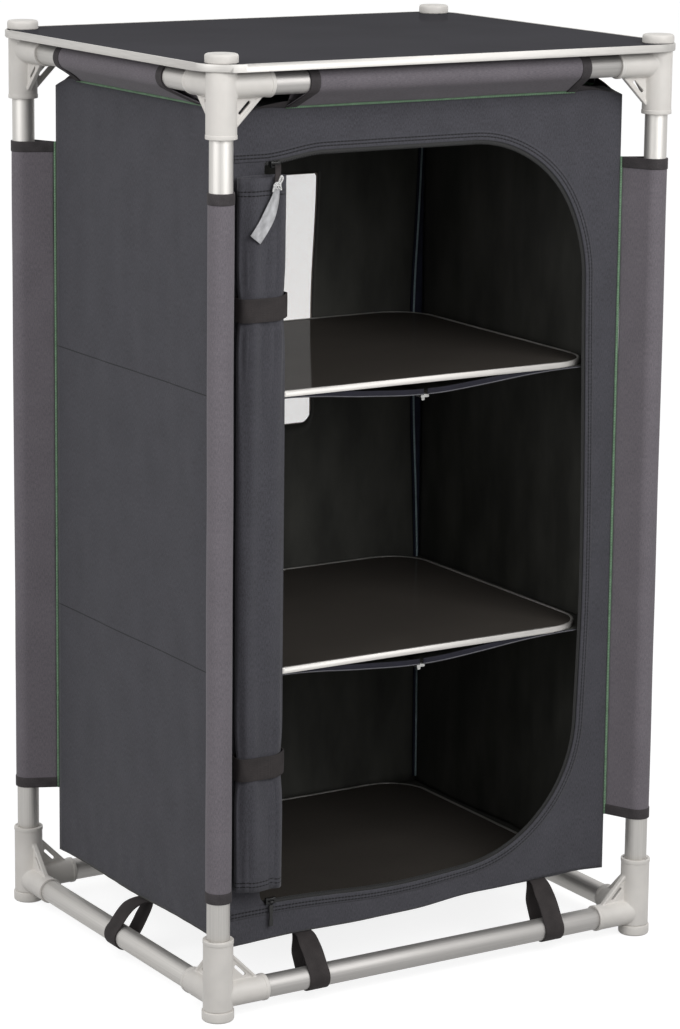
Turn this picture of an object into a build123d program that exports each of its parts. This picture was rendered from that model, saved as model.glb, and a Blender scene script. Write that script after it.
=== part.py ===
from build123d import *
import os
from math import acos, cos, hypot, pi, sin

# Camping cupboard: a knock-down frame of aluminium tubes in plastic corner connectors,
# a zipped cloth cabinet hung inside it by sleeves, three loose boards and a lift-off tabletop.
# Millimetres. Origin on the ground at the centre of the footprint, +Z up, the door faces -Y.

os.makedirs("parts", exist_ok=True)

# Overall sizes
overall_height = 1032.0
tabletop_width = 600.0
tabletop_depth = 500.0
tabletop_overhang = 25.0

# Tubes
tube_diameter = 25.0
tube_wall = 1.2
tube_clearance = 0.15

# Corner connectors
column_wall = 3.6
socket_wall = 1.6
socket_reach = 57.0
socket_inner_wall = 2.0
top_column_height = 69.0
bottom_column_height = 78.0
gusset_span = 31.0
gusset_thickness = 3.0
gusset_rib_width = 3.2
gusset_rib_thickness = 5.6
gusset_slot_length = 18.0
gusset_slot_width = 3.0
gusset_slot_gap = 3.0

# Feet and the plugs that hold the tabletop down
plug_diameter = 35.0
foot_height = 12.0
cap_height = 10.0
cap_bevel = 2.0
stem_length = 22.0
stem_clearance = 0.3

# Tabletop
tabletop_thickness = 8.0
tabletop_corner_radius = 40.0
tabletop_rim_wall = 1.6
tabletop_panel_thickness = 6.5

# Cloth cabinet
corner_inset = 27.5
cabinet_drop = 45.0
ground_clearance = 72.0
cloth = 1.2
piping_diameter = 3.0

# Loose boards, measured to their upper faces above the ground
middle_board_level = 367.0
upper_board_level = 669.0
board_height = 5.5
board_panel_thickness = 4.0
board_rim_wall = 1.8
board_gap_x = 19.3
board_gap_y = 3.3
board_corner_radius = 50.0
rest_gap = 0.3

# Shelf slings
sling_shoulder = 46.0
sling_sag = 12.0
sling_front_setback = 6.0
zip_chain_width = 5.0
zip_chain_height = 3.2
slider_width = 10.0
slider_length = 9.0
slider_floor = 1.4
slider_tab_length = 9.0
slider_tab_width = 4.0
slider_tab_thickness = 1.4

# Door opening, rolled door and its webbing
door_left_margin = 39.5
door_right_margin = 44.5
door_top_margin = 54.0
door_bottom_margin = 36.0
door_corner_radius = 150.0
door_zip_width = 7.0
roll_width = 60.0
roll_depth = 23.0
roll_fold_depth = 2.2
roll_waist = 0.9
roll_overlap = 0.5
roll_hem = 11.0
webbing_width = 25.0
webbing = 1.5
strap_clearance = 0.5
strap_corner = 4.0
lower_strap_rise = 163.0
upper_strap_drop = 150.0

# Zip sliders and pulls of the door
door_slider_length = 12.0
door_slider_width = 8.0
door_slider_thickness = 4.0
bail_radius = 3.4
bail_wire = 1.0
bail_clearance = 0.3
cord_diameter = 3.2
cord_drop = 15.0
ribbon_width = 15.0
ribbon_length = 56.0
ribbon_thickness = 1.2
ribbon_slant = 30.0
small_pull_length = 24.0
small_pull_width = 5.0
small_pull_thickness = 2.0

# Back window
window_width = 190.0
window_height = 300.0
window_drop = 127.0
window_corner_radius = 18.0
window_net = 0.6
net_overlap = 6.0

# Sleeves over the tubes
sleeve_clearance = 0.2
sleeve_tip_radius = 1.3
seam_gap = 0.3
post_sleeve_top_gap = 52.0
post_sleeve_bottom_gap = 42.0
rail_sleeve_end_gap_x = 97.0
rail_sleeve_end_gap_y = 95.0

# Webbing loops that tie the cabinet down to the lower rails
front_loop_spread = 155.0
side_loop_offset = -14.0
loop_top_radius = 2.0

# Places worked out from the sizes above
post_x = tabletop_width / 2 - tabletop_overhang
post_y = tabletop_depth / 2 - tabletop_overhang
tube_radius = tube_diameter / 2
stem_radius = tube_radius - tube_wall - stem_clearance
column_radius = tube_radius + tube_clearance + column_wall
socket_radius = tube_radius + tube_clearance + socket_wall
socket_start = tube_radius + column_wall + socket_inner_wall
tabletop_top = overall_height - cap_height
tabletop_bottom = tabletop_top - tabletop_thickness
top_column_top = tabletop_bottom - rest_gap
top_column_bottom = top_column_top - top_column_height
top_rail_z = top_column_top - socket_radius
bottom_column_top = foot_height + bottom_column_height
bottom_rail_z = foot_height + socket_radius
cabinet_top = tabletop_bottom - cabinet_drop
cabinet_bottom = ground_clearance
cabinet_height = cabinet_top - cabinet_bottom
wall_x = post_x - corner_inset
wall_y = post_y - corner_inset
inside_x = wall_x - cloth
inside_y = wall_y - cloth
floor_board_level = cabinet_bottom + cloth + rest_gap + board_height

PLACES = {
    "front_left": (-post_x, -post_y, 0),
    "front_right": (post_x, -post_y, 90),
    "back_right": (post_x, post_y, 180),
    "back_left": (-post_x, post_y, 270),
}

SIDES = {
    "front": (0, -post_y, 0),
    "right": (post_x, 0, 90),
    "back": (0, post_y, 180),
    "left": (-post_x, 0, 270),
}


def at_corner(corner, shape):
    """Put a shape made at the origin, with the cabinet towards +X +Y, at a post axis."""
    x, y, turn = PLACES[corner]
    return Pos(x, y, 0) * Rot(0, 0, turn) * shape


def at_side(side, shape):
    """Put a shape made along X at the origin, with the cabinet towards +Y, at a rail axis."""
    x, y, turn = SIDES[side]
    return Pos(x, y, 0) * Rot(0, 0, turn) * shape


def save(name, *solids):
    """Write one sub-part, which is one solid or a group of alike solids."""
    shape = solids[0] if len(solids) == 1 else Compound(children=list(solids))
    export_step(shape, f"parts/{name}.step")


def rod(radius, low, high):
    """A cylinder about Z from one height to another."""
    return Pos(0, 0, low) * Cylinder(radius, high - low, align=(Align.CENTER, Align.CENTER, Align.MIN))


def bar(radius, start, end):
    """A cylinder along +X from one distance to another."""
    return Rot(0, 90, 0) * rod(radius, start, end)


def block(x, y, z):
    """A box from three pairs of limits."""
    size = Box(x[1] - x[0], y[1] - y[0], z[1] - z[0], align=(Align.MIN, Align.MIN, Align.MIN))
    return Pos(x[0], y[0], z[0]) * size


def rounded_plate(width, depth, radius, low, high):
    """A flat plate with four rounded corners."""
    return extrude(Pos(0, 0, low) * RectangleRounded(width, depth, radius), amount=high - low)


def cut_corners(width, depth, cut):
    """Closed outline of a rectangle whose four corners are cut off."""
    x = width / 2
    y = depth / 2
    quarter = [(x, y - cut), (x - cut, y)]
    mirrored = [(-px, py) for px, py in reversed(quarter)]
    half = quarter + mirrored
    outline = half + [(px, -py) for px, py in reversed(half)]
    return outline + [outline[0]]


def tube(length):
    """A plain tube along Z, centred on the origin."""
    inner = tube_radius - tube_wall
    return rod(tube_radius, -length / 2, length / 2) - rod(inner, -length / 2, length / 2)


# Corner connectors: a column for the post, two sockets for the rails, a slotted gusset under each
def gusset(seat_height, mouth_side):
    """Triangular web in the XZ plane between the column and the socket, with rib and slot.

    seat_height is the socket's face that the web stands on, mouth_side is +1 when the
    column's open end is above the socket and -1 when it is below.
    """
    sunk = 1.0
    inner = column_radius - sunk
    outer = column_radius + gusset_span
    foot = seat_height - mouth_side * sunk
    peak = seat_height + mouth_side * gusset_span
    corners = [(inner, foot), (outer, foot), (outer, seat_height), (column_radius, peak), (inner, peak)]
    web = extrude(Plane.XZ * make_face(Polyline(*corners, close=True)), gusset_thickness / 2, both=True)
    # the rib is a band along the slanted edge, its ends sunk in the column and the socket
    band = gusset_rib_width * 2 ** 0.5
    corners = [
        (outer + sunk, foot), (inner, peak + mouth_side * sunk),
        (inner, peak + mouth_side * (sunk - band)), (outer + sunk - band, foot),
    ]
    rib = extrude(Plane.XZ * make_face(Polyline(*corners, close=True)), gusset_rib_thickness / 2, both=True)
    # the slot lies beside the rib, at the same 45 degrees
    slot = Box(gusset_slot_length, 2 * gusset_thickness, gusset_slot_width)
    slot_depth = gusset_rib_width + gusset_slot_gap + gusset_slot_width / 2
    middle_x = column_radius + gusset_span / 2
    middle_z = seat_height + mouth_side * gusset_span / 2
    slope = Pos(middle_x, 0, middle_z) * Rot(0, mouth_side * 45, 0)
    return web + rib - slope * Pos(0, 0, -mouth_side * slot_depth) * slot


def grip_bore(low, high):
    """A twelve-sided bore along Z that holds a tube on its flats."""
    return Pos(0, 0, low) * extrude(RegularPolygon(tube_radius + tube_clearance, 12, major_radius=False), high - low)


def connector(low, high, rail_z, mouth_side):
    """One corner connector about the post's axis, sockets towards +X and +Y."""
    body = rod(column_radius, low, high)
    web = gusset(rail_z + mouth_side * (socket_radius - 0.3), mouth_side)
    socket = Pos(0, 0, rail_z) * bar(socket_radius, 0, socket_reach)
    bore = Pos(0, 0, rail_z) * Rot(0, 90, 0) * grip_bore(socket_start, socket_reach)
    for turn in (0, 90):
        body += Rot(0, 0, turn) * (socket + web)
    for turn in (0, 90):
        body -= Rot(0, 0, turn) * bore
    return body - grip_bore(low, high)


top_connector = connector(top_column_bottom, top_column_top, top_rail_z, -1)
bottom_connector = connector(foot_height, bottom_column_top, bottom_rail_z, 1)
save("top_connectors", *[at_corner(corner, top_connector) for corner in PLACES])
save("bottom_connectors", *[at_corner(corner, bottom_connector) for corner in PLACES])

# Four posts, each through both of its connectors and standing on its foot
post_low = foot_height + tube_clearance
post_high = top_column_top - tube_clearance
post = Pos(0, 0, (post_low + post_high) / 2) * tube(post_high - post_low)
for corner in PLACES:
    save(f"post_{corner}", at_corner(corner, post))

# Eight rails between the sockets
for side in SIDES:
    half_span = post_x if side in ("front", "back") else post_y
    rail = Rot(0, 90, 0) * tube(2 * (half_span - socket_start - tube_clearance))
    save(f"top_rail_{side}", at_side(side, Pos(0, 0, top_rail_z) * rail))
    save(f"bottom_rail_{side}", at_side(side, Pos(0, 0, bottom_rail_z) * rail))


# Feet and corner caps: a round head, and a twelve-sided stem that grips inside the post
stem = Pos(0, 0, -stem_length) * extrude(RegularPolygon(stem_radius, 12), stem_length)
foot = Pos(0, 0, foot_height) * Rot(180, 0, 0) * (rod(plug_diameter / 2, 0, foot_height) + stem)
cap = rod(plug_diameter / 2, 0, cap_height)
cap = chamfer(cap.edges().group_by(Axis.Z)[-1], cap_bevel)
cap = Pos(0, 0, tabletop_top) * (cap + stem)
save("feet", *[at_corner(corner, foot) for corner in PLACES])
save("tabletop_corner_caps", *[at_corner(corner, cap) for corner in PLACES])


# Tabletop and boards: a flat panel inside an edge profile
def edge_profile(width, depth, radius, wall, low, high):
    """A ring of rectangular section round a panel."""
    outer = rounded_plate(width, depth, radius, low, high)
    return outer - rounded_plate(width - 2 * wall, depth - 2 * wall, radius - wall, low, high)


rim = edge_profile(
    tabletop_width, tabletop_depth, tabletop_corner_radius, tabletop_rim_wall,
    tabletop_bottom, tabletop_top,
)
panel = rounded_plate(
    tabletop_width - 2 * tabletop_rim_wall, tabletop_depth - 2 * tabletop_rim_wall,
    tabletop_corner_radius - tabletop_rim_wall,
    tabletop_top - tabletop_panel_thickness, tabletop_top,
)
for corner in PLACES:
    hole = rod(stem_radius + stem_clearance, tabletop_bottom, tabletop_top)
    panel -= at_corner(corner, hole)
save("tabletop_rim", rim)
save("tabletop_panel", panel)

board_width = 2 * (inside_x - board_gap_x)
board_depth = 2 * (inside_y - board_gap_y)
BOARDS = {
    "floor_board": floor_board_level,
    "middle_shelf_board": middle_board_level,
    "upper_shelf_board": upper_board_level,
}
for name, level in BOARDS.items():
    save(name, rounded_plate(
        board_width - 2 * board_rim_wall, board_depth - 2 * board_rim_wall,
        board_corner_radius - board_rim_wall, level - board_panel_thickness, level,
    ))
    save(f"{name}_rim", edge_profile(
        board_width, board_depth, board_corner_radius, board_rim_wall,
        level - board_height, level,
    ))

# Cabinet walls, roof and floor, each a flat panel of cloth
heights = (cabinet_bottom, cabinet_top)
save("cabinet_left_wall", block((-wall_x, -inside_x), (-wall_y, wall_y), heights))
save("cabinet_right_wall", block((inside_x, wall_x), (-wall_y, wall_y), heights))
save("cabinet_roof", block((-inside_x, inside_x), (-inside_y, inside_y), (cabinet_top - cloth, cabinet_top)))
save("cabinet_floor", block(
    (-inside_x, inside_x), (-inside_y, inside_y), (cabinet_bottom, cabinet_bottom + cloth),
))

# Back wall with its ventilation window of fine net
window_z = cabinet_top - window_drop - window_height / 2
window = Pos(0, wall_y, window_z) * Rot(90, 0, 0) * RectangleRounded(window_width, window_height, window_corner_radius)
window_hole = extrude(window, cloth * 2, both=True)
save("cabinet_back_wall", block((-inside_x, inside_x), (inside_y, wall_y), heights) - window_hole)
save("back_window_net", block(
    (-window_width / 2 - net_overlap, window_width / 2 + net_overlap), (wall_y, wall_y + window_net),
    (window_z - window_height / 2 - net_overlap, window_z + window_height / 2 + net_overlap),
))


# Front panel with the D shaped door opening, and the zip round it
door_left = -wall_x + door_left_margin
door_right = wall_x - door_right_margin
door_top = cabinet_top - door_top_margin
door_bottom = cabinet_bottom + door_bottom_margin


def door_shape(inset):
    """The D outline in X and Z: straight at the left, large round corners at the right."""
    right = door_right - inset
    top = door_top - inset
    bottom = door_bottom + inset
    radius = door_corner_radius - inset
    top_start = (right - radius, top)
    top_end = (right, top - radius)
    bottom_start = (right, bottom + radius)
    bottom_end = (right - radius, bottom)
    outline = [
        Line((door_left, top), top_start),
        RadiusArc(top_start, top_end, radius),
        Line(top_end, bottom_start),
        RadiusArc(bottom_start, bottom_end, radius),
        Line(bottom_end, (door_left, bottom)),
        Line((door_left, bottom), (door_left, top)),
    ]
    return make_face(Curve() + outline)


def upright(face, front, back):
    """Stand a face drawn in X and Z up between two depths."""
    return extrude(Plane((0, back, 0), x_dir=(1, 0, 0), z_dir=(0, -1, 0)) * face, back - front)


opening = upright(door_shape(0), -wall_y - cloth, -inside_y + cloth)
save("cabinet_front_panel", block((-inside_x, inside_x), (-wall_y, -inside_y), heights) - opening)
zip_ring = upright(door_shape(0), -wall_y, -inside_y) - upright(door_shape(door_zip_width), -wall_y, -inside_y)
save("door_zip", zip_ring)


# Rolled door: a flattened roll with long soft folds, drawn in at its two webbing straps
def roll_outline(width, depth, z):
    """Closed outline of the roll: a flat back, and a full front with three folds."""
    side = depth * 0.3
    outline = [(roll_centre + width / 2 - side, roll_back), (roll_centre - width / 2 + side, roll_back)]
    for step in range(ROLL_STEPS + 1):
        across = 2 * step / ROLL_STEPS - 1
        fullness = (1 - across ** 4) ** 0.5
        crease = roll_fold_depth * abs(cos(1.5 * pi * across)) * fullness
        bulge = side + (depth - side) * fullness - crease
        outline.append((roll_centre + across * width / 2, roll_back - bulge))
    return Pos(0, 0, z) * make_face(Polyline(*outline, close=True))


ROLL_STEPS = 12
roll_back = -wall_y - webbing - strap_clearance
roll_left = -wall_x - roll_overlap
roll_centre = roll_left + roll_width / 2
roll_low = door_bottom + roll_hem
roll_high = door_top - roll_hem
waist_reach = webbing_width * 0.7
strap_levels = (door_bottom + lower_strap_rise, door_top - upper_strap_drop)
stations = [(roll_low, 1.0)]
for level in strap_levels:
    stations += [
        (level - 3 * waist_reach, 1.0), (level - waist_reach, roll_waist),
        (level + waist_reach, roll_waist), (level + 3 * waist_reach, 1.0),
    ]
stations += [(roll_high, 1.0)]
sections = [roll_outline(roll_width * size, roll_depth * size, z) for z, size in stations]
save("door_roll", loft(sections, ruled=True))


def roll_strap(level):
    """A webbing band round the roll's waist."""
    width = roll_width * roll_waist + 2 * strap_clearance
    depth = roll_depth * roll_waist + 2 * strap_clearance
    middle = roll_back - roll_depth * roll_waist / 2
    outer = Polyline(*cut_corners(width + 2 * webbing, depth + 2 * webbing, strap_corner + webbing))
    inner = Polyline(*cut_corners(width, depth, strap_corner))
    band = extrude(make_face(outer) - make_face(inner), webbing_width / 2, both=True)
    return Pos(roll_centre, middle, level) * band


save("roll_straps", *[roll_strap(level) for level in strap_levels])


# Teardrop sleeves: cloth round a tube, its two layers meeting at the piping
BEND_STEPS = 6


def teardrop(circle_radius, tip_radius, tip_distance, tip_steps):
    """Outline of a cloth belt, its flats outside a circle at the origin, its tip along +X."""
    lean = acos((circle_radius - tip_radius) / tip_distance)
    bend = 2 * (pi - lean) / BEND_STEPS
    outline = []
    for step in range(BEND_STEPS + 1):
        angle = lean + step * bend
        reach = circle_radius / cos(bend / 2)
        outline.append((reach * cos(angle), reach * sin(angle)))
    for step in range(tip_steps + 1):
        angle = lean * (2 * step / tip_steps - 1)
        outline.append((tip_distance + tip_radius * cos(angle), tip_radius * sin(angle)))
    return make_face(Polyline(*outline, close=True))


def sleeve_loop(tip_distance):
    """Cross-section of the sleeve cloth."""
    inner = tube_radius + sleeve_clearance
    outer = teardrop(inner + cloth, sleeve_tip_radius, tip_distance, 2)
    return outer - teardrop(inner, sleeve_tip_radius / 10, tip_distance, 1)


seam_width = piping_diameter + sleeve_tip_radius + seam_gap
post_sleeve_low = bottom_column_top + post_sleeve_bottom_gap
post_sleeve_high = top_column_bottom - post_sleeve_top_gap
post_sleeve_height = post_sleeve_high - post_sleeve_low
post_sleeve = extrude(sleeve_loop(corner_inset * 2 ** 0.5 - seam_width), post_sleeve_height)
for corner in PLACES:
    save(f"post_sleeve_{corner}", at_corner(corner, Pos(0, 0, post_sleeve_low) * Rot(0, 0, 45) * post_sleeve))

# each rail sleeve leans from its rail down and inwards to the cabinet's upper edge
edge_drop = top_rail_z - cabinet_top
valance_run = hypot(corner_inset, edge_drop)
along_x = Plane((0, 0, top_rail_z), x_dir=(0, corner_inset, -edge_drop), z_dir=(1, 0, 0))
HALF_SLEEVES = {
    side: post_x - rail_sleeve_end_gap_x if side in ("front", "back") else post_y - rail_sleeve_end_gap_y
    for side in SIDES
}
for side, half_length in HALF_SLEEVES.items():
    sleeve = extrude(along_x * sleeve_loop(valance_run - seam_width), half_length, both=True)
    save(f"top_rail_sleeve_{side}", at_side(side, sleeve))

# Piping in the seams between the cabinet and its sleeves, flats against both
piping_radius = piping_diameter / 2
cord_face = RegularPolygon(piping_radius, 6, major_radius=False, rotation=30)
upright_cord = extrude(Pos(corner_inset * 2 ** 0.5 - piping_radius, 0) * cord_face, post_sleeve_height)
upright_cord = Pos(0, 0, post_sleeve_low) * Rot(0, 0, 45) * upright_cord
piping = [at_corner(corner, upright_cord) for corner in PLACES]
for side, half_length in HALF_SLEEVES.items():
    edge_cord = extrude(along_x * Pos(valance_run - piping_radius, 0) * cord_face, half_length, both=True)
    piping.append(at_side(side, edge_cord))
save("cabinet_piping", *piping)

# Webbing loops under the cabinet, round the lower rails
loop_inner = tube_radius + sleeve_clearance
loop_tip_y = corner_inset + loop_top_radius
loop_tip_z = cabinet_bottom - loop_top_radius - webbing
loop_run = hypot(loop_tip_y, loop_tip_z - bottom_rail_z)
loop_plane = Plane((0, 0, bottom_rail_z), x_dir=(0, loop_tip_y, loop_tip_z - bottom_rail_z), z_dir=(1, 0, 0))
loop_face = teardrop(loop_inner + webbing, loop_top_radius + webbing, loop_run, 4)
loop_face -= teardrop(loop_inner, loop_top_radius, loop_run, 2)
loop = extrude(loop_plane * loop_face, webbing_width / 2, both=True)
save(
    "hold_down_loops",
    at_side("front", Pos(-front_loop_spread, 0, 0) * loop),
    at_side("front", Pos(front_loop_spread, 0, 0) * loop),
    at_side("back", Pos(-front_loop_spread, 0, 0) * loop),
    at_side("back", Pos(front_loop_spread, 0, 0) * loop),
    at_side("left", Pos(-side_loop_offset, 0, 0) * loop),
    at_side("right", Pos(side_loop_offset, 0, 0) * loop),
)

# Shelf slings: two halves of cloth sewn to the walls, joined by a zip from front to back
sling_front = -inside_y + sling_front_setback
chain_half = zip_chain_width / 2
SLINGS = {"middle": middle_board_level, "upper": upper_board_level}


def sling_half(level):
    """The right half: level under the board's edge, then sagging to the zip."""
    high = level - board_height - rest_gap
    shoulder = inside_x - sling_shoulder
    outline = [
        (inside_x, high), (shoulder, high), (chain_half, high - sling_sag),
        (chain_half, high - sling_sag - cloth), (shoulder, high - cloth), (inside_x, high - cloth),
    ]
    return upright(make_face(Polyline(*outline, close=True)), sling_front, inside_y)


sling_zips = []
for name, level in SLINGS.items():
    right_half = sling_half(level)
    save(f"{name}_shelf_sling", right_half, mirror(right_half, Plane.YZ))
    chain_top = level - board_height - rest_gap - sling_sag
    chain_low = chain_top - zip_chain_height
    sling_zips.append(block((-chain_half, chain_half), (sling_front, inside_y), (chain_low, chain_top)))
    # the slider is a channel that rides under the chain, with a small tab hanging from it
    slider_low = chain_low - rest_gap - slider_floor
    slider_high = chain_top - cloth - rest_gap
    length = (sling_front, sling_front + slider_length)
    slider = block((-slider_width / 2, slider_width / 2), length, (slider_low, slider_high))
    slider -= block(
        (-chain_half - rest_gap, chain_half + rest_gap), (length[0] - 1, length[1] + 1),
        (chain_low - rest_gap, slider_high + 1),
    )
    tab_front = sling_front + slider_length / 2 - slider_tab_thickness / 2
    slider += block(
        (-slider_tab_width / 2, slider_tab_width / 2), (tab_front, tab_front + slider_tab_thickness),
        (slider_low - slider_tab_length, slider_low),
    )
    save(f"{name}_sling_zip_slider", slider)


save("sling_zips", *sling_zips)

# Door zip sliders: a small body on the zip with a wire bail in front
bail_y = -wall_y - door_slider_thickness
slider_x = door_left + door_slider_length
SLIDER_LEVELS = {"top": door_top - door_zip_width / 2, "bottom": door_bottom + door_zip_width / 2}


def door_slider(level):
    """Slider body standing on the front panel, with its bail about an axis along X."""
    body = Box(door_slider_length, door_slider_thickness, door_slider_width)
    body = chamfer(body.edges().filter_by(Axis.Y), door_slider_width * 0.25)
    body = Pos(0, door_slider_thickness / 2, 0) * body
    ring = RegularPolygon(bail_radius + bail_wire / 2, 8) - RegularPolygon(bail_radius - bail_wire / 2, 8)
    bail = Rot(0, 90, 0) * extrude(ring, bail_wire / 2, both=True)
    return Pos(slider_x, bail_y, level) * (body + bail)


save("door_zip_sliders", *[door_slider(level) for level in SLIDER_LEVELS.values()])
pull_start = max(bail_radius + bail_wire / 2, door_slider_width / 2) + bail_clearance

# Top pull: a cord over the roll's top edge, then a ribbon that slants across its front
bail_z = SLIDER_LEVELS["top"]
cord_radius = cord_diameter / 2
bend_y = roll_back - roll_depth - rest_gap - cord_radius
bend_z = roll_high + rest_gap + 2 * cord_radius
reach = hypot(bend_y - bail_y, bend_z - bail_z)
over = Plane((slider_x, bail_y, bail_z), x_dir=(1, 0, 0), z_dir=(0, bend_y - bail_y, bend_z - bail_z))
cord_section = RegularPolygon(cord_radius, 6)
cord = over * Pos(0, 0, pull_start) * extrude(cord_section, reach - pull_start + cord_radius / 2)
hanging = Pos(0, 0, -cord_drop - cord_radius) * extrude(cord_section, cord_drop + 1.5 * cord_radius)
ribbon = block(
    (-ribbon_width / 2, ribbon_width / 2), (-ribbon_thickness / 2, ribbon_thickness / 2),
    (-cord_drop - ribbon_length, -cord_drop),
)
save("top_door_pull", cord + Pos(slider_x, bend_y, bend_z) * Rot(0, ribbon_slant, 0) * (hanging + ribbon))

# Bottom pull: a small flat tab that hangs clear of the slider, in front of the panel
tab_top = SLIDER_LEVELS["bottom"] - pull_start
save("bottom_door_pull", block(
    (slider_x - small_pull_width / 2, slider_x + small_pull_width / 2),
    (bail_y - small_pull_thickness / 2, bail_y + small_pull_thickness / 2),
    (tab_top - small_pull_length, tab_top),
))
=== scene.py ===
from contextlib import contextmanager
from math import acos, copysign, cos, exp, hypot, pi, radians, sin, sqrt

import bmesh
import bpy
from bpy.props import FloatProperty, FloatVectorProperty, PointerProperty
from mathutils import Matrix, Vector, noise


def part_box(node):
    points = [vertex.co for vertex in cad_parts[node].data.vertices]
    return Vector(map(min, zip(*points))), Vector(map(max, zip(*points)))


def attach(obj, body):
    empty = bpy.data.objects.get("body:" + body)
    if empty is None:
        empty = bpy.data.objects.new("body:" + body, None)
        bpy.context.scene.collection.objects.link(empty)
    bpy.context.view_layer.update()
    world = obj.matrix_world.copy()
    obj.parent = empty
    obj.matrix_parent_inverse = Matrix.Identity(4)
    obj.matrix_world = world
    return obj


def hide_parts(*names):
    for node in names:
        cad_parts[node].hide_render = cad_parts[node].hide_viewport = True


# Dresses a packed camping cupboard: tube frame in slotted connectors, cloth cabinet hung by
# sleeves, loose boards, rolled-up door. Metres, +Z up, the door faces -Y.

bl_info = {
    "name": "Camping cupboard",
    "version": (1, 0, 0),
    "blender": (4, 5, 0),
    "location": "View3D > Sidebar > Cupboard",
    "description": "Models the visible pieces of a camping cupboard on its packed frame",
    "category": "Object",
}

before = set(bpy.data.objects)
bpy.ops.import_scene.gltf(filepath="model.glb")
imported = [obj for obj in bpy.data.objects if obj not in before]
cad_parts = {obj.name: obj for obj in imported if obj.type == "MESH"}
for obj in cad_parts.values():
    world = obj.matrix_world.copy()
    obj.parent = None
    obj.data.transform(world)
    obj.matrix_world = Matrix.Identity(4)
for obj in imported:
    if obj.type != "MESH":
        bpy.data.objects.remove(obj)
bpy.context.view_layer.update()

MM = 0.001


# Places read from the frame
def low(node):
    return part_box(node)[0]


def high(node):
    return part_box(node)[1]


def centre(node):
    return (low(node) + high(node)) / 2


POST_X = -centre("post_front_left").x
POST_Y = -centre("post_front_left").y
TUBE_RADIUS = (high("post_front_left").x - low("post_front_left").x) / 2
COLUMN_RADIUS = -POST_X - low("top_connectors").x
SOCKET_RADIUS = centre("bottom_rail_front").z - low("bottom_connectors").z
TOP_RAIL_Z = centre("top_rail_front").z
LOW_RAIL_Z = centre("bottom_rail_front").z
WALL_X = -low("cabinet_left_wall").x
WALL_Y = -low("cabinet_left_wall").y
CABINET_LOW = low("cabinet_left_wall").z
CABINET_HIGH = high("cabinet_left_wall").z
SLEEVE_LOW = low("post_sleeve_front_left").z
SLEEVE_HIGH = high("post_sleeve_front_left").z
DOOR_LEFT = low("door_zip").x
DOOR_RIGHT = high("door_zip").x
DOOR_LOW = low("door_zip").z
DOOR_HIGH = high("door_zip").z
STRAP_WIDTH = 25 * MM
STRAP_LEVELS = {
    "lower": low("roll_straps").z + STRAP_WIDTH / 2,
    "upper": high("roll_straps").z - STRAP_WIDTH / 2,
}

CORNERS = {
    "front_left": (-POST_X, -POST_Y, 0),
    "front_right": (POST_X, -POST_Y, 90),
    "back_right": (POST_X, POST_Y, 180),
    "back_left": (-POST_X, POST_Y, 270),
}
SIDES = {
    "front": (0, -POST_Y, 0),
    "right": (POST_X, 0, 90),
    "back": (0, POST_Y, 180),
    "left": (-POST_X, 0, 270),
}


def placed(where):
    """Matrix that takes a shape made at the origin to a corner or a side."""
    x, y, turn = where
    return Matrix.Translation((x, y, 0)) @ Matrix.Rotation(radians(turn), 4, "Z")


# What a user would change
def length_setting(name, description, default):
    return FloatProperty(name=name, description=description, default=default, unit="LENGTH")


def colour_setting(name, description, default):
    return FloatVectorProperty(
        name=name, description=description, default=default, subtype="COLOR_GAMMA")


def angle_setting(name, description, degrees):
    return FloatProperty(
        name=name, description=description, default=radians(degrees), subtype="ANGLE",
        unit="ROTATION")


class CupboardSizes(bpy.types.PropertyGroup):
    """Sizes of the cupboard's visible detail."""
    tube_wall: length_setting("Tube wall", "Wall of the frame tubes", 0.0012)
    socket_reach: length_setting(
        "Socket reach", "From the post's axis to a connector's mouth", 0.057)
    gusset_span: length_setting(
        "Gusset span", "Legs of the triangular web under a socket", 0.031)
    gusset_slot: length_setting("Gusset slot", "Length of the slot in the web", 0.018)
    cloth: length_setting("Cloth", "Thickness of the coated cloth", 0.001)
    weave_step: length_setting("Cloth step", "Width of one face of the cabinet's cloth", 0.006)
    binding: length_setting("Binding width", "Tape that edges the sleeves", 0.012)
    door_radius: length_setting("Door radius", "Round corners of the door opening", 0.15)
    roll_turns: FloatProperty(
        name="Roll turns", description="How often the door is rolled", default=3.1)
    zip_pitch: length_setting("Zip pitch", "Distance between the zip's teeth", 0.002)


class CupboardColours(bpy.types.PropertyGroup):
    """Colours of the cupboard's finishes, as they are seen."""
    cabinet: colour_setting("Cabinet cloth", "Anthracite cloth", (0.27, 0.268, 0.29))
    sleeve: colour_setting("Sleeve cloth", "Mid grey cloth", (0.43, 0.41, 0.432))
    lining: colour_setting("Lining", "Black coating inside", (0.25, 0.25, 0.235))
    binding: colour_setting("Binding", "Dark edging tape", (0.235, 0.222, 0.228))
    piping: colour_setting("Piping", "Green cord in the seams", (0.46, 0.58, 0.47))
    webbing: colour_setting("Webbing", "Black straps", (0.19, 0.175, 0.175))
    plastic: colour_setting("Plastic", "Light warm grey mouldings", (0.865, 0.85, 0.83))
    metal: colour_setting("Aluminium", "Satin tube and edging", (0.78, 0.77, 0.755))
    tabletop: colour_setting("Tabletop", "Grey laminate", (0.25, 0.247, 0.265))
    boards: colour_setting("Boards", "Near-black laminate", (0.265, 0.25, 0.235))
    net: colour_setting("Net", "Pale window net", (0.93, 0.87, 0.82))
    ribbon: colour_setting("Ribbon", "Silver-white zip ribbon", (0.76, 0.76, 0.77))


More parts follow.
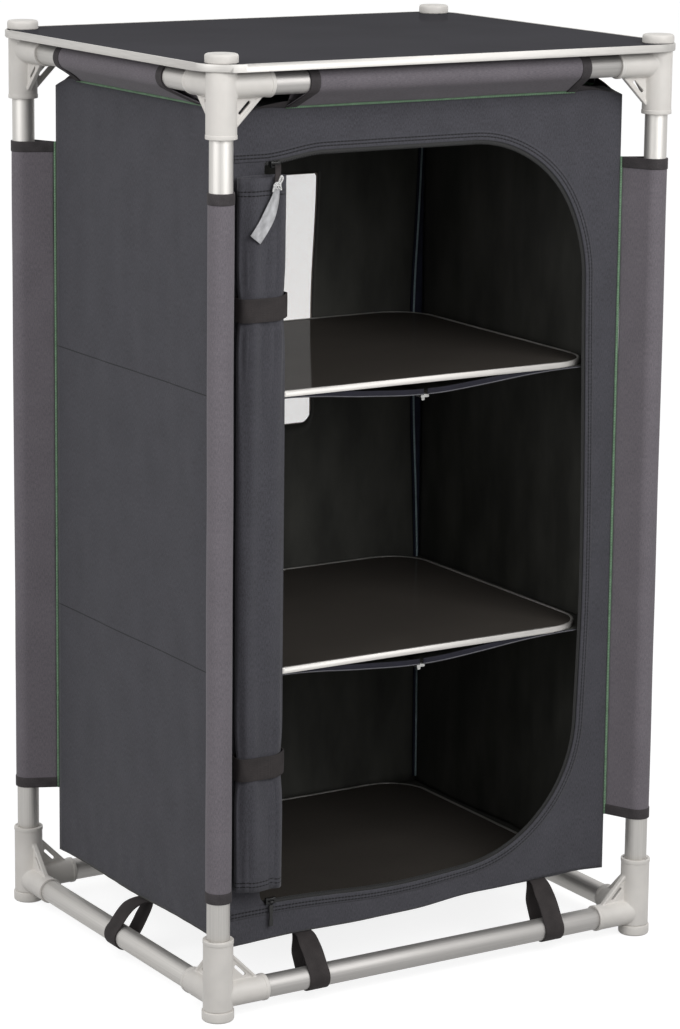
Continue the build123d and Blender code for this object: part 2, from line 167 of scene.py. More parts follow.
class StudioSettings(bpy.types.PropertyGroup):
    """Camera and lamps."""
    camera_place: FloatVectorProperty(
        name="Camera", description="Where the camera stands", subtype="TRANSLATION",
        unit="LENGTH", default=(-2.0109, -3.2689, 1.3508))
    turn: angle_setting("Turn", "Camera's turn to the right of +Y", 31.72)
    tilt: angle_setting("Tilt", "How far it looks down", 11.15)
    roll: angle_setting("Roll", "Its lean to one side", 0.61)
    lens: FloatProperty(name="Lens", description="Focal length in millimetres", default=120.9)
    shift: FloatProperty(name="Shift", description="Vertical shift of the lens", default=-0.0972)
    key: FloatProperty(
        name="Key lamp", description="Power of the large lamp", subtype="POWER", default=31.5)
    fill: FloatProperty(
        name="Fill lamp", description="Power of the lamp at the left", subtype="POWER",
        default=27.0)
    ambient: FloatProperty(name="Ambient", description="Light from all round", default=0.5)


def sizes():
    return bpy.context.scene.cupboard_sizes


# Modelling by hand
def bare():
    """Leave nothing selected."""
    if bpy.context.object and bpy.context.object.mode != "OBJECT":
        bpy.ops.object.mode_set(mode="OBJECT")
    bpy.ops.object.select_all(action="DESELECT")


def only(obj):
    """Leave one object selected and active."""
    bare()
    obj.select_set(True)
    bpy.context.view_layer.objects.active = obj


def named(name):
    """Name the primitive that was just added, and put its place in its mesh."""
    obj = bpy.context.active_object
    obj.name = name
    obj.data.name = name
    only(obj)
    bpy.ops.object.transform_apply(location=True, rotation=True, scale=True)
    return obj


@contextmanager
def editing(obj, action="DESELECT"):
    """Edit mode on one object, with nothing of it selected, or all of it."""
    only(obj)
    bpy.ops.object.mode_set(mode="EDIT")
    bpy.ops.mesh.select_all(action=action)
    yield
    bpy.ops.object.mode_set(mode="OBJECT")


def pick(obj, kind, test):
    """In edit mode, select the verts, edges or faces for which the test is true."""
    bpy.ops.mesh.select_mode(type=kind)
    bpy.ops.mesh.select_all(action="DESELECT")
    mesh = bmesh.from_edit_mesh(obj.data)
    for item in {"VERT": mesh.verts, "EDGE": mesh.edges, "FACE": mesh.faces}[kind]:
        item.select_set(bool(test(item)))
    bmesh.update_edit_mesh(obj.data)


def along_edge(edge):
    """From one end of an edge to the other."""
    return edge.verts[0].co - edge.verts[1].co


def round_picked(width, segments):
    """In edit mode, round the selected edges by a width in millimetres."""
    bpy.ops.mesh.bevel(offset=width * MM, segments=segments, affect="EDGES")


def modify(obj, kind, **settings):
    """Add a modifier and apply it."""
    only(obj)
    modifier = obj.modifiers.new(kind.title(), kind)
    for key, value in settings.items():
        setattr(modifier, key, value)
    bpy.ops.object.modifier_apply(modifier=modifier.name)


def soften(obj, width, segments=2, sharper=30):
    """Round the edges sharper than an angle in degrees, by a width in millimetres."""
    modify(obj, "BEVEL", width=width * MM, segments=segments, limit_method="ANGLE",
           angle_limit=radians(sharper))


def smooth(obj, angle=35):
    """Shade an object smooth, but for the edges sharper than an angle in degrees."""
    only(obj)
    bpy.ops.object.shade_smooth_by_angle(angle=radians(angle))


def smooth_all(obj):
    """Shade every face of an object smooth."""
    for polygon in obj.data.polygons:
        polygon.use_smooth = True
    return obj


def linked(name, data):
    """A new object in the scene."""
    obj = bpy.data.objects.new(name, data)
    bpy.context.collection.objects.link(obj)
    return obj


def joined(name, parts):
    """Several meshes as one object."""
    bare()
    for part in parts:
        part.select_set(True)
    bpy.context.view_layer.objects.active = parts[0]
    if len(parts) > 1:
        bpy.ops.object.join()
    parts[0].name = name
    return parts[0]


def copied(model, name, move):
    """A copy with its own mesh, moved in the mesh."""
    copy = linked(name, model.data.copy())
    copy.data.transform(move)
    return copy


def discard(obj):
    bpy.data.objects.remove(obj)


def cut_away(obj, cutter):
    """Take the cutter's shape out of an object."""
    modify(obj, "BOOLEAN", operation="DIFFERENCE", object=cutter, solver="EXACT")
    discard(cutter)


def block(name, x, y, z):
    """A box from three pairs of limits."""
    bare()
    middle = [(a + b) / 2 for a, b in (x, y, z)]
    bpy.ops.mesh.primitive_cube_add(size=1, location=middle)
    bpy.context.active_object.scale = [b - a for a, b in (x, y, z)]
    return named(name)


def cylinder(name, radius, start, end, sides=64, cap="NGON"):
    """A cylinder about Z."""
    bare()
    bpy.ops.mesh.primitive_cylinder_add(
        vertices=sides, radius=radius, depth=end - start, location=(0, 0, (start + end) / 2),
        end_fill_type=cap)
    return named(name)


def lying(axis):
    """Matrix that lays a shape made about Z along X or Y."""
    if axis == "X":
        return Matrix.Rotation(pi / 2, 4, "Y")
    return Matrix.Rotation(-pi / 2, 4, "X")


def dress(obj, body, finishes, replaces=()):
    """Give a finished piece its finishes, its body and the nodes that it stands for."""
    while len(obj.data.materials) < len(finishes):
        obj.data.materials.append(None)
    for index, name in enumerate(finishes):
        obj.data.materials[index] = finish_named(name)
    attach(obj, body)
    if replaces:
        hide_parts(*replaces)
    return obj


def refinish(node, name):
    """Give a node of the frame another finish."""
    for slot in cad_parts[node].material_slots:
        slot.material = finish_named(name)


# Cloth
MERGE_WITHIN = 0.01 * MM
HEM = 45 * MM
EAR_START = 0.73


def ease(start, end, value):
    """Rise smoothly from 0 at start to 1 at end."""
    t = min(max((value - start) / (end - start), 0), 1)
    return t * t * (3 - 2 * t)


def hump(value, middle, width):
    """Bell curve, 1 at the middle."""
    return exp(-((value - middle) / width) ** 2)


def squared(value, power):
    """A sine or cosine pushed outwards, which makes a circle of both squarer."""
    return copysign(abs(value) ** power, value)


def ripple(x, y, z):
    """Smooth noise from -1 to 1."""
    return noise.noise(Vector((x, y, z)))


def cloth_sheet(name, columns, rows, place, closed=False):
    """A sheet from a grid. place takes s and t from 0 to 1, gives a point and its weave place."""
    bare()
    bpy.ops.mesh.primitive_grid_add(x_subdivisions=columns, y_subdivisions=rows, size=2)
    obj = named(name)
    mesh = obj.data
    weave = []
    for vertex in mesh.vertices:
        point, woven = place((vertex.co.x + 1) / 2, (vertex.co.y + 1) / 2)
        vertex.co = point
        weave.append(woven)
    layer = mesh.uv_layers.active.data
    for loop in mesh.loops:
        layer[loop.index].uv = weave[loop.vertex_index]
    if closed:
        with editing(obj, "SELECT"):
            bpy.ops.mesh.remove_doubles(threshold=MERGE_WITHIN)
    return obj


def thicken(obj, thickness, offset=-1, lined=False):
    """Give a sheet its thickness, its inner side in the second material where it is lined."""
    for _ in range(2 if lined else 1):
        obj.data.materials.append(None)
    modify(obj, "SOLIDIFY", thickness=thickness, offset=offset,
           material_offset=1 if lined else 0, material_offset_rim=0)
    return smooth_all(obj)


def strip(name, columns, rows, place, thickness, soft=0, closed=False, turned=False):
    """Tape, webbing or ribbon, as thick on either side of its place, in millimetres.

    soft rounds its edges. turned is for a strip whose place would give it inside out.
    """
    obj = cloth_sheet(name, columns, rows, place, closed)
    if turned:
        obj.data.flip_normals()
    thicken(obj, thickness * MM, offset=0)
    if soft:
        soften(obj, soft, sharper=60)
    return obj


def pulled_by_door(x, z):
    """How far the front's cloth moves to the right and up round its door opening."""
    # the strip under the opening sags, and its sides and its top are drawn outwards
    lift = -7.5 * hump(x, -0.03, 0.1) * hump(z, DOOR_LOW, 0.026)
    lift -= 4 * hump(x, 0.005, 0.045) * ease(CABINET_LOW + HEM, CABINET_LOW, z)
    above = ease(0.77, 0.88, z) * ease(CABINET_HIGH, DOOR_HIGH + 0.01, z)
    lift += 8.8 * above * ease(-0.212, -0.135, x) * ease(WALL_X, DOOR_RIGHT + 0.005, x)
    bulge = hump(z, 0.42, 0.3 if z > 0.42 else 0.18)
    sideways = 7.8 * bulge * ease(0.1, 0.19, x) * ease(WALL_X, DOOR_RIGHT + 0.009, x)
    return sideways * MM, lift * MM


def drape(x, y, z):
    """Where a point of the flat cabinet lies as its cloth hangs from the sleeves."""
    across = abs(x) / WALL_X
    along = abs(y) / WALL_Y
    corner = (across * along) ** 14
    right = 1 if x > 0 else -1
    back = 1 if y > 0 else -1
    # the corners stand up as ears beside the sleeves' ends and droop outside
    beside = min(max((min(across, along) - EAR_START) / (1 - EAR_START), 0), 1)
    near_top = ease(CABINET_HIGH - HEM, CABINET_HIGH, z)
    droop = 6.75 + 1.1 * (back - right)
    lift = (2 * sin(pi * min(beside * 1.25, 1)) - droop * beside ** 3) * MM * near_top
    # the lower edge waves between the webbing loops
    near_foot = ease(CABINET_LOW + HEM, CABINET_LOW, z)
    wave = 4.5 * sin(9 * x + 0.3) + 1.1 * sin(34 * x + 27 * y) - 1.6 * (y / WALL_Y)
    lift += (wave - 2) * MM * near_foot
    sideways = 0
    if y < 0:
        sideways, door_lift = pulled_by_door(x, z)
        lift += door_lift
    # long soft swells, still at the upright seams, and small ones low at the sides and at the top
    swell = 1.3 * ripple(9 * x, 9 * y, 2.5 * z) + 0.5 * ripple(38 * x, 38 * y, 5 * z)
    low_side = hump(hypot(abs(x) - 0.22, z - 0.09), 0, 0.036056)
    swell += 1.5 * ripple(60 * x, 60 * y, 60 * z) * low_side
    swell += 0.7 * ripple(25 * x, 25 * y, 50 * z) * hump(z, CABINET_HIGH, 0.06)
    out = swell * MM * (1 - corner)
    side = ease(0.96, 1, across) * (1 - corner)
    face = ease(0.96, 1, along) * (1 - corner)
    return Vector((
        x + sideways + right * (out * side + 0.5 * MM * corner),
        y + back * (out * face + 0.5 * MM * corner),
        z + lift,
    ))


def belt(radius, tip, tip_radius, slack=(0, 0)):
    """Outline of cloth that hugs a circle at the origin and comes to a tip at +X.

    Gives its girth, and a function from a share of it to a point. slack bows its two flats out.
    """
    lean = acos((radius - tip_radius) / tip)
    flat = sqrt(tip ** 2 - (radius - tip_radius) ** 2)
    nose = tip_radius * lean
    half = nose + flat + radius * (pi - lean)

    def at(share):
        run = share * 2 * half
        turned = run > half
        run = 2 * half - run if turned else run
        if run < nose:
            angle = run / tip_radius
            a, b = tip + tip_radius * cos(angle), tip_radius * sin(angle)
        elif run < nose + flat:
            way = (run - nose) / flat
            wide = tip_radius + (radius - tip_radius) * way + slack[turned] * sin(pi * way ** 0.8)
            a, b = tip * (1 - way) + wide * cos(lean), wide * sin(lean)
        else:
            angle = lean + (run - nose - flat) / radius
            a, b = radius * cos(angle), radius * sin(angle)
        return a, -b if turned else b

    return 2 * half, at


def cord_mesh(name, points, radius, closed=False):
    """A round cord along a smooth line."""
    curve = bpy.data.curves.new(name, "CURVE")
    curve.dimensions = "3D"
    curve.bevel_depth = radius
    curve.bevel_resolution = 1
    curve.use_fill_caps = not closed
    line = curve.splines.new("NURBS")
    line.points.add(len(points) - 1)
    for knot, point in zip(line.points, points):
        knot.co = (*point, 1)
    line.order_u = 3
    line.use_cyclic_u = closed
    line.use_endpoint_u = not closed
    line.resolution_u = 4
    obj = linked(name, curve)
    only(obj)
    bpy.ops.object.convert(target="MESH")
    with editing(obj, "SELECT"):
        bpy.ops.mesh.remove_doubles(threshold=MERGE_WITHIN)
        bpy.ops.mesh.normals_make_consistent(inside=False)
    return smooth_all(obj)


def curve_point(points, share):
    """Point at a share of the way along a smooth line through points."""
    run = min(max(share, 0), 0.99999) * (len(points) - 1)
    index, part = int(run), run % 1
    last = len(points) - 1
    a, b, c, d = (Vector(points[min(max(index + step, 0), last)]) for step in (-1, 0, 1, 2))
    rest = part * (2 * a - 5 * b + 4 * c - d + part * (3 * b - a - 3 * c + d))
    return b + 0.5 * part * (c - a + rest)


def row_of(name, model, places):
    """One mesh of many copies of a small model."""
    mesh = bmesh.new()
    for place in places:
        before = len(mesh.verts)
        mesh.from_mesh(model.data)
        mesh.verts.ensure_lookup_table()
        bmesh.ops.transform(mesh, matrix=place, verts=mesh.verts[before:])
    data = bpy.data.meshes.new(name)
    mesh.to_mesh(data)
    mesh.free()
    discard(model)
    return linked(name, data)


# Rounded lines in X and Z
def rounded_legs(left, right, foot, top, radius):
    """The straights and quarter circles of a rounded rectangle, from its foot round the right.

    Each has its length, the angle that leads outwards at its start, its start or its middle, and
    the way in which a straight runs.
    """
    wide, tall, arc = right - left - 2 * radius, top - foot - 2 * radius, pi / 2 * radius
    return (
        (wide, -90, (left + radius, foot), (1, 0)),
        (arc, -90, (right - radius, foot + radius), None),
        (tall, 0, (right, foot + radius), (0, 1)),
        (arc, 0, (right - radius, top - radius), None),
        (wide, 90, (right - radius, top), (-1, 0)),
        (arc, 90, (left + radius, top - radius), None),
        (tall, 180, (left, top - radius), (0, -1)),
        (arc, 180, (left + radius, foot + radius), None),
    )


def point_on(legs, run, radius, out=0.0):
    """Point at a run along the legs and at a distance out, and the angle that leads outwards."""
    for length, angle, start, way in legs[:-1]:
        if run <= length + 0.0001 * MM:
            break
        run -= length
    else:
        _, angle, start, way = legs[-1]
    turn = radians(angle)
    if way:
        x, z = start[0] + way[0] * run, start[1] + way[1] * run
    else:
        turn += run / radius
        x, z = start[0] + radius * cos(turn), start[1] + radius * sin(turn)
    return x + out * cos(turn), z + out * sin(turn), turn


def door_legs():
    """The line of the door opening: its foot, the curve at the right, and back along its top."""
    radius = sizes().door_radius
    return rounded_legs(DOOR_LEFT - radius, DOOR_RIGHT, DOOR_LOW, DOOR_HIGH, radius)[:5]


# Materials
def linear(colour):
    """A colour as seen, turned into light."""
    parts = [c / 12.92 if c <= 0.04045 else ((c + 0.055) / 1.055) ** 2.4 for c in colour]
    return (*parts, 1.0)


def shade(colour, factor):
    """A seen colour made lighter or darker, as light."""
    return linear([min(c * factor, 1) for c in colour])


class Reading:
    """A value inside a material, on which arithmetic adds Math nodes."""

    def __init__(self, finish, socket):
        self.finish = finish
        self.socket = socket

    def maths(self, operation, *values):
        return self.finish.node(
            "ShaderNodeMath", {"operation": operation}, dict(enumerate(values)))[0]

    def __add__(self, other):
        return self.maths("ADD", self, other)

    def __sub__(self, other):
        return self.maths("SUBTRACT", self, other)

    def __rsub__(self, other):
        return self.maths("SUBTRACT", other, self)

    def __mul__(self, other):
        return self.maths("MULTIPLY", self, other)

    def __truediv__(self, other):
        return self.maths("DIVIDE", self, other)

    def __lt__(self, other):
        return self.maths("LESS_THAN", self, other)

    def __abs__(self):
        return self.maths("ABSOLUTE", self)

    def larger(self, other):
        return self.maths("MAXIMUM", self, other)

    def wave(self, pitch):
        """Sine of the value, one wave to each pitch."""
        return self.maths("SINE", self * (2 * pi / pitch))

    def remainder(self, step):
        return self.maths("FRACT", self / step) * step


class Finish:
    """A material or a world, and the nodes that are put in it."""

    def __init__(self, name, kind="materials"):
        self.owner = getattr(bpy.data, kind).new(name)
        self.owner.use_nodes = True
        self.tree = self.owner.node_tree
        self.tree.nodes.clear()

    def node(self, kind, settings, values):
        """Add a node with its settings, then its inputs' values or links. Gives its outputs."""
        node = self.tree.nodes.new(kind)
        for key, value in settings.items():
            setattr(node, key, value)
        named_inputs = {}
        for socket in node.inputs:
            if socket.enabled:
                named_inputs.setdefault(socket.name, socket)
        for key, value in values.items():
            socket = node.inputs[key] if isinstance(key, int) else named_inputs[key]
            if isinstance(value, Reading):
                self.tree.links.new(value.socket, socket)
            else:
                socket.default_value = value
        return [Reading(self, socket) for socket in node.outputs if socket.enabled]

    def place(self):
        """Object coordinates, in metres."""
        return self.node("ShaderNodeTexCoord", {}, {})[3]

    def weave(self):
        """The piece's own map, in metres along and across the cloth."""
        return self.node("ShaderNodeUVMap", {"uv_map": "UVMap"}, {})[0]

    def rays(self):
        """Which rays see the surface: from the camera, mirrored, and let through."""
        path = self.node("ShaderNodeLightPath", {}, {})
        return path[0], path[3], path[6]

    def axes(self, vector):
        return self.node("ShaderNodeSeparateXYZ", {}, {"Vector": vector})

    def grain(self, vector, scale, detail=2.0):
        """Noise from 0 to 1 about 0.5. Three scales stretch it."""
        if isinstance(scale, tuple):
            stretch = {"operation": "MULTIPLY"}
            vector = self.node("ShaderNodeVectorMath", stretch, {0: vector, 1: scale})[0]
            scale = 1.0
        return self.node("ShaderNodeTexNoise", {"noise_dimensions": "3D"}, {
            "Vector": vector, "Scale": scale, "Detail": detail})[0]

    def blend(self, factor, first, second):
        return self.node("ShaderNodeMix", {"data_type": "RGBA"}, {
            "Factor": factor, "A": first, "B": second})[0]

    def spread(self, value, start, end, first=0.0, last=1.0):
        """Map a value's range to another, held at the ends."""
        return self.node("ShaderNodeMapRange", {}, {
            "Value": value, "From Min": start, "From Max": end, "To Min": first,
            "To Max": last})[0]

    def tint(self, value, start, end, colour, darker, lighter):
        """The colour's darker shade where the value is at its start, its lighter one at its end."""
        return self.blend(
            self.spread(value, start, end), shade(colour, darker), shade(colour, lighter))

    def bump(self, height, depth):
        """A height from 0 to 1 as relief of that depth in millimetres."""
        return self.node("ShaderNodeBump", {}, {
            "Height": height, "Distance": depth * MM, "Strength": 1.0})[0]

    def surface(self, **values):
        """The shader and its output."""
        values = {
            key.replace("_", " ").title().replace("Ior", "IOR"): value
            for key, value in values.items()}
        shader = self.node("ShaderNodeBsdfPrincipled", {}, values)[0]
        self.node("ShaderNodeOutputMaterial", {}, {"Surface": shader})
        return self.owner


STITCH = 4.2 * MM


def woven_cloth(name, colour, pitch=0.9 * MM, heather=0.17, seams=()):
    """Polyester cloth: heathered threads and a plain weave, with rows of stitches at the seams."""
    finish = Finish(name)
    weave = finish.weave()
    across, along, _ = finish.axes(weave)
    streak = finish.grain(weave, (1200, 240, 1), 3.0)
    patch = finish.grain(weave, (30, 22, 1))
    fleck = finish.grain(weave, (900, 800, 1), 1.0)
    tint = finish.tint(
        streak * 0.55 + fleck * 0.3 + patch * 0.15, 0.36, 0.64, colour, 1 - heather, 1 + heather)
    relief = across.wave(pitch) * along.wave(pitch) * 0.25 + streak * 0.5
    for seam in seams:
        away = abs(along - seam)
        thread = finish.spread(away, 0.4 * MM, 0.9 * MM, 1.0, 0.0)
        pucker = finish.spread(away, 0.0, 4 * MM, 1.0, 0.0)
        from_middle = abs(across.remainder(STITCH) - STITCH / 2)
        dash = finish.spread(from_middle, 1.2 * MM, 1.6 * MM, 1.0, 0.0)
        tint = finish.blend(thread * (dash * 0.5 + 0.5), tint, shade(colour, 0.34))
        relief = relief - pucker * (across.wave(STITCH) * 0.5 + 1.2)
    return finish.surface(
        base_color=tint, roughness=finish.spread(fleck, 0.3, 0.7, 0.78, 0.95),
        specular_IOR_level=0.25, sheen_weight=0.12, sheen_roughness=0.5,
        normal=finish.bump(relief, 0.12))


def coated_lining(name, colour):
    """The coated inner side of the cloth: near black, with a dull shine and fine creases whose
    hollows are painted darker as shade.
    """
    finish = Finish(name)
    weave = finish.weave()
    crease = finish.grain(weave, (26, 9, 1), 4.0)
    grain = finish.grain(weave, 900.0)
    # painted shade: the colour is darker in the creases' hollows and lighter on their ridges
    return finish.surface(
        base_color=finish.tint(crease, 0.35, 0.7, colour, 0.85, 1.18),
        roughness=finish.spread(grain, 0.3, 0.7, 0.5, 0.68), specular_IOR_level=0.3,
        normal=finish.bump(crease * 3 + grain * 0.4, 0.2))


def ribbed_tape(name, colour, pitch=1.2 * MM):
    """Webbing and edging tape: fine ribs along its length, and worn lighter in places."""
    finish = Finish(name)
    weave = finish.weave()
    across, along, _ = finish.axes(weave)
    wear = finish.grain(weave, (60, 60, 1), 3.0)
    thread = finish.grain(weave, (1500, 500, 1), 1.0)
    relief = along.wave(pitch) * 0.4 + across.wave(pitch * 1.6) * 0.25 + thread * 0.4
    return finish.surface(
        base_color=finish.tint(wear * 0.5 + thread * 0.5, 0.35, 0.65, colour, 0.8, 1.25),
        roughness=finish.spread(thread, 0.3, 0.7, 0.7, 0.9), specular_IOR_level=0.3,
        normal=finish.bump(relief, 0.15))


def twisted_cord(name, colour):
    """Cord in the seams: short slanting strands, painted darker between them as shade."""
    finish = Finish(name)
    place = finish.place()
    x, y, z = finish.axes(place)
    strand = (x + y + z * 1.2).wave(2.2 * MM)
    dirt = finish.grain(place, 120.0, 3.0)
    # painted shade: the strands' wave darkens the colour in the grooves between them; dirt is a
    # random tone
    return finish.surface(
        base_color=finish.tint(strand * 0.35 + dirt, 0.2, 0.8, colour, 0.78, 1.12),
        roughness=0.75, specular_IOR_level=0.3, normal=finish.bump(strand, 0.2))


def satin_metal(name, colour, drawn, roughness=0.52):
    """Anodised aluminium with faint drawing lines; drawn scales the grain in X, Y and Z."""
    finish = Finish(name)
    place = finish.place()
    lines = finish.grain(place, drawn, 3.0)
    cloud = finish.grain(place, 14.0, 3.0)
    rough = finish.spread(
        lines * 0.6 + cloud * 0.4, 0.35, 0.65, roughness - 0.05, roughness + 0.07)
    return finish.surface(
        base_color=finish.tint(lines, 0.3, 0.7, colour, 0.96, 1.03), metallic=0.82,
        roughness=rough, normal=finish.bump(lines, 0.01))


def moulded_plastic(name, colour, roughness=0.42):
    """Moulded plastic with spark-eroded grain and faint flow marks."""
    finish = Finish(name)
    place = finish.place()
    grain = finish.grain(place, 1800.0)
    flow = finish.grain(place, 22.0, 3.0)
    return finish.surface(
        base_color=finish.tint(flow, 0.35, 0.65, colour, 0.965, 1.02),
        roughness=finish.spread(grain, 0.3, 0.7, roughness - 0.06, roughness + 0.08),
        specular_IOR_level=0.45, normal=finish.bump(grain * 0.5 + flow * 0.8, 0.06))


def laminate(name, colour, coat):
    """Printed laminate: fine speckle under a thin clear face."""
    finish = Finish(name)
    place = finish.place()
    speck = finish.grain(place, 1400.0, 1.0)
    cloud = finish.grain(place, 6.0, 3.0)
    peel = finish.grain(place, 90.0, 1.0)
    return finish.surface(
        base_color=finish.tint(speck * 0.6 + cloud * 0.4, 0.35, 0.65, colour, 0.92, 1.08),
        roughness=finish.spread(speck * 0.5 + cloud * 0.5, 0.3, 0.7, 0.5, 0.6),
        specular_IOR_level=0.0, coat_weight=coat, coat_roughness=0.07,
        normal=finish.bump(peel, 0.01))


def window_net(name, colour, pitch=1.3 * MM, hole=1.16 * MM):
    """Fine net: pale threads with holes between them."""
    finish = Finish(name)
    weave = finish.weave()
    across, along, _ = finish.axes(weave)
    fray = finish.grain(weave, (300, 300, 1))
    beside, above = (
        abs(value.remainder(pitch) - pitch / 2) < hole / 2 for value in (across, along))
    return finish.surface(
        base_color=finish.blend(fray, shade(colour, 0.94), shade(colour, 1.05)), roughness=0.8,
        specular_IOR_level=0.2, alpha=1 - beside * above * 0.98, normal=finish.bump(fray, 0.02))


def satin_ribbon(name, colour):
    """Woven ribbon with fine slanting ribs."""
    finish = Finish(name)
    weave = finish.weave()
    across, along, _ = finish.axes(weave)
    rib = (across + along * 1.4).wave(1.1 * MM)
    cloud = finish.grain(weave, (160, 90, 1), 3.0)
    return finish.surface(
        base_color=finish.tint(cloud, 0.35, 0.65, colour, 0.86, 1.06),
        roughness=finish.spread(cloud, 0.3, 0.7, 0.38, 0.6), metallic=0.25,
        specular_IOR_level=0.5, normal=finish.bump(rib, 0.08))


# Each finish has the function that makes it, its material's name, its colour or the name of the
# colour setting that holds it, and what else differs. Seams are in metres up the cloth.
ALL_WAYS = (400, 400, 400)
FINISHES = {
    "cabinet": (woven_cloth, "cabinet_cloth", "cabinet", {}),
    "side": (woven_cloth, "side_cloth", "cabinet", {"seams": (0.2895, 0.5915)}),
    "band": (woven_cloth, "door_band_cloth", "cabinet", {"seams": (0.004, 0.0075)}),
    "roll": (woven_cloth, "door_cloth", "cabinet", {"seams": (0.006, 0.0105, 0.7555, 0.76)}),
    "sleeve": (woven_cloth, "sleeve_cloth", "sleeve", {"pitch": 1.1 * MM, "heather": 0.11}),
    "lining": (coated_lining, "black_lining", "lining", {}),
    "binding": (ribbed_tape, "binding_tape", "binding", {"pitch": 0.9 * MM}),
    "webbing": (ribbed_tape, "strap_webbing", "webbing", {}),
    "sling_tape": (ribbed_tape, "sling_tape", (0.1, 0.1, 0.14), {"pitch": 0.9 * MM}),
    "sling_edge": (twisted_cord, "sling_edge", (0.42, 0.42, 0.44), {}),
    "piping": (twisted_cord, "seam_piping", "piping", {}),
    "corner_seam": (twisted_cord, "lining_seam", (0.62, 0.7, 0.72), {}),
    "seam_tape": (ribbed_tape, "lining_tape", (0.13, 0.14, 0.2), {"pitch": 0.9 * MM}),
    "upright_tube": (satin_metal, "upright_tube_metal", "metal", {"drawn": (900, 900, 6)}),
    # painted shade: the front and back rails are the same aluminium as the uprights, set darker so
    # that they look shaded
    "cross_tube": (satin_metal, "cross_tube_metal", (0.69, 0.68, 0.67), {"drawn": (6, 900, 900)}),
    "side_tube": (satin_metal, "side_tube_metal", "metal", {"drawn": (900, 6, 900)}),
    "edging": (satin_metal, "edging_metal", "metal", {"drawn": (40, 40, 1500)}),
    "plastic": (moulded_plastic, "connector_plastic", "plastic", {}),
    "tabletop": (laminate, "tabletop_laminate", "tabletop", {"coat": 0.035}),
    "boards": (laminate, "board_laminate", "boards", {"coat": 0.2}),
    "net": (window_net, "window_net", "net", {}),
    "ribbon": (satin_ribbon, "zip_ribbon", "ribbon", {}),
    "knot": (twisted_cord, "knot_cord", (0.93, 0.92, 0.9), {}),
    "zip": (moulded_plastic, "zip_coil", (0.09, 0.09, 0.09), {"roughness": 0.4}),
    "slider": (satin_metal, "slider_metal", (0.2, 0.2, 0.2), {"drawn": ALL_WAYS, "roughness": 0.3}),
    "bright_slider": (
        satin_metal, "bright_slider_metal", (0.75, 0.75, 0.74),
        {"drawn": ALL_WAYS, "roughness": 0.25}),
    "pull": (moulded_plastic, "pull_plastic", (0.12, 0.12, 0.12), {"roughness": 0.5}),
}
made = {}


def finish_named(name):
    """The finish of that name, made once."""
    if name not in made:
        maker, title, colour, settings = FINISHES[name]
        if isinstance(colour, str):
            colour = getattr(bpy.context.scene.cupboard_colours, colour)
        made[name] = maker(title, colour, **settings)
    return made[name]


# Frame
class CUPBOARD_OT_tubes(bpy.types.Operator):
    """Posts and rails: drawn tubes with eased ends"""
    bl_idname = "cupboard.tubes"
    bl_label = "Tubes"

    def execute(self, context):
        posts = ["post_" + corner for corner in CORNERS]
        across, beside = (
            [f"{level}_rail_{side}" for level in ("top", "bottom") for side in sides]
            for sides in (("front", "back"), ("left", "right")))
        for axis, metal, nodes in (
            ("Z", "upright_tube", posts), ("X", "cross_tube", across), ("Y", "side_tube", beside),
        ):
            length = max(high(nodes[0]) - low(nodes[0]))
            model = cylinder("tube", TUBE_RADIUS, -length / 2, length / 2, cap="NOTHING")
            modify(model, "SOLIDIFY", thickness=sizes().tube_wall, offset=-1)
            soften(model, 0.25)
            smooth(model)
            turn = Matrix() if axis == "Z" else lying(axis)
            for node in nodes:
                tube = copied(model, "tube_" + node, Matrix.Translation(centre(node)) @ turn)
                dress(tube, "cupboard", [metal], [node])
            discard(model)
        return {"FINISHED"}


def gusset(rail_z, mouth):
    """Slotted web with its rib, in the XZ plane; mouth is 1 above the socket and -1 below it."""
    span = sizes().gusset_span
    seat = rail_z + mouth * (SOCKET_RADIUS - 0.3 * MM)
    inner = COLUMN_RADIUS - MM
    outer = COLUMN_RADIUS + span
    ends = sorted((seat - mouth * MM, seat + mouth * span))
    web = block("web", (inner, outer), (-1.5 * MM, 1.5 * MM), ends)
    with editing(web, "SELECT"):
        bpy.ops.mesh.bisect(
            plane_co=(outer, 0, seat), plane_no=(1, 0, mouth), use_fill=True, clear_outer=True)
    slope = Matrix.Translation((COLUMN_RADIUS + span / 2, 0, seat + mouth * span / 2))
    slope = slope @ Matrix.Rotation(radians(45 * mouth), 4, "Y")
    half = sizes().gusset_slot / 2
    slot = block("slot", (-half, half), (-5 * MM, 5 * MM), (-1.6 * MM, 1.6 * MM))
    with editing(slot):
        pick(slot, "EDGE", lambda edge: abs(along_edge(edge).y) > MM)
        round_picked(1.5, 5)
    slot.data.transform(slope @ Matrix.Translation((0, 0, -mouth * 7.7 * MM)))
    cut_away(web, slot)
    reach = span / sqrt(2) + 1.5 * MM
    rib = block("rib", (-reach, reach), (-2.8 * MM, 2.8 * MM), (-1.6 * MM, 1.6 * MM))
    rib.data.transform(slope @ Matrix.Translation((0, 0, -mouth * 1.6 * MM)))
    return [web, rib]


SOCKET_TURNS = (0, 90)
COLLAR_RISE = 0.45 * MM
COLLAR_LENGTH = 4.5 * MM


def socket_pose(turn, rail_z):
    """Matrix that lays a shape made about Z along a socket's axis."""
    level = Matrix.Translation((0, 0, rail_z))
    return Matrix.Rotation(radians(turn), 4, "Z") @ level @ lying("X")


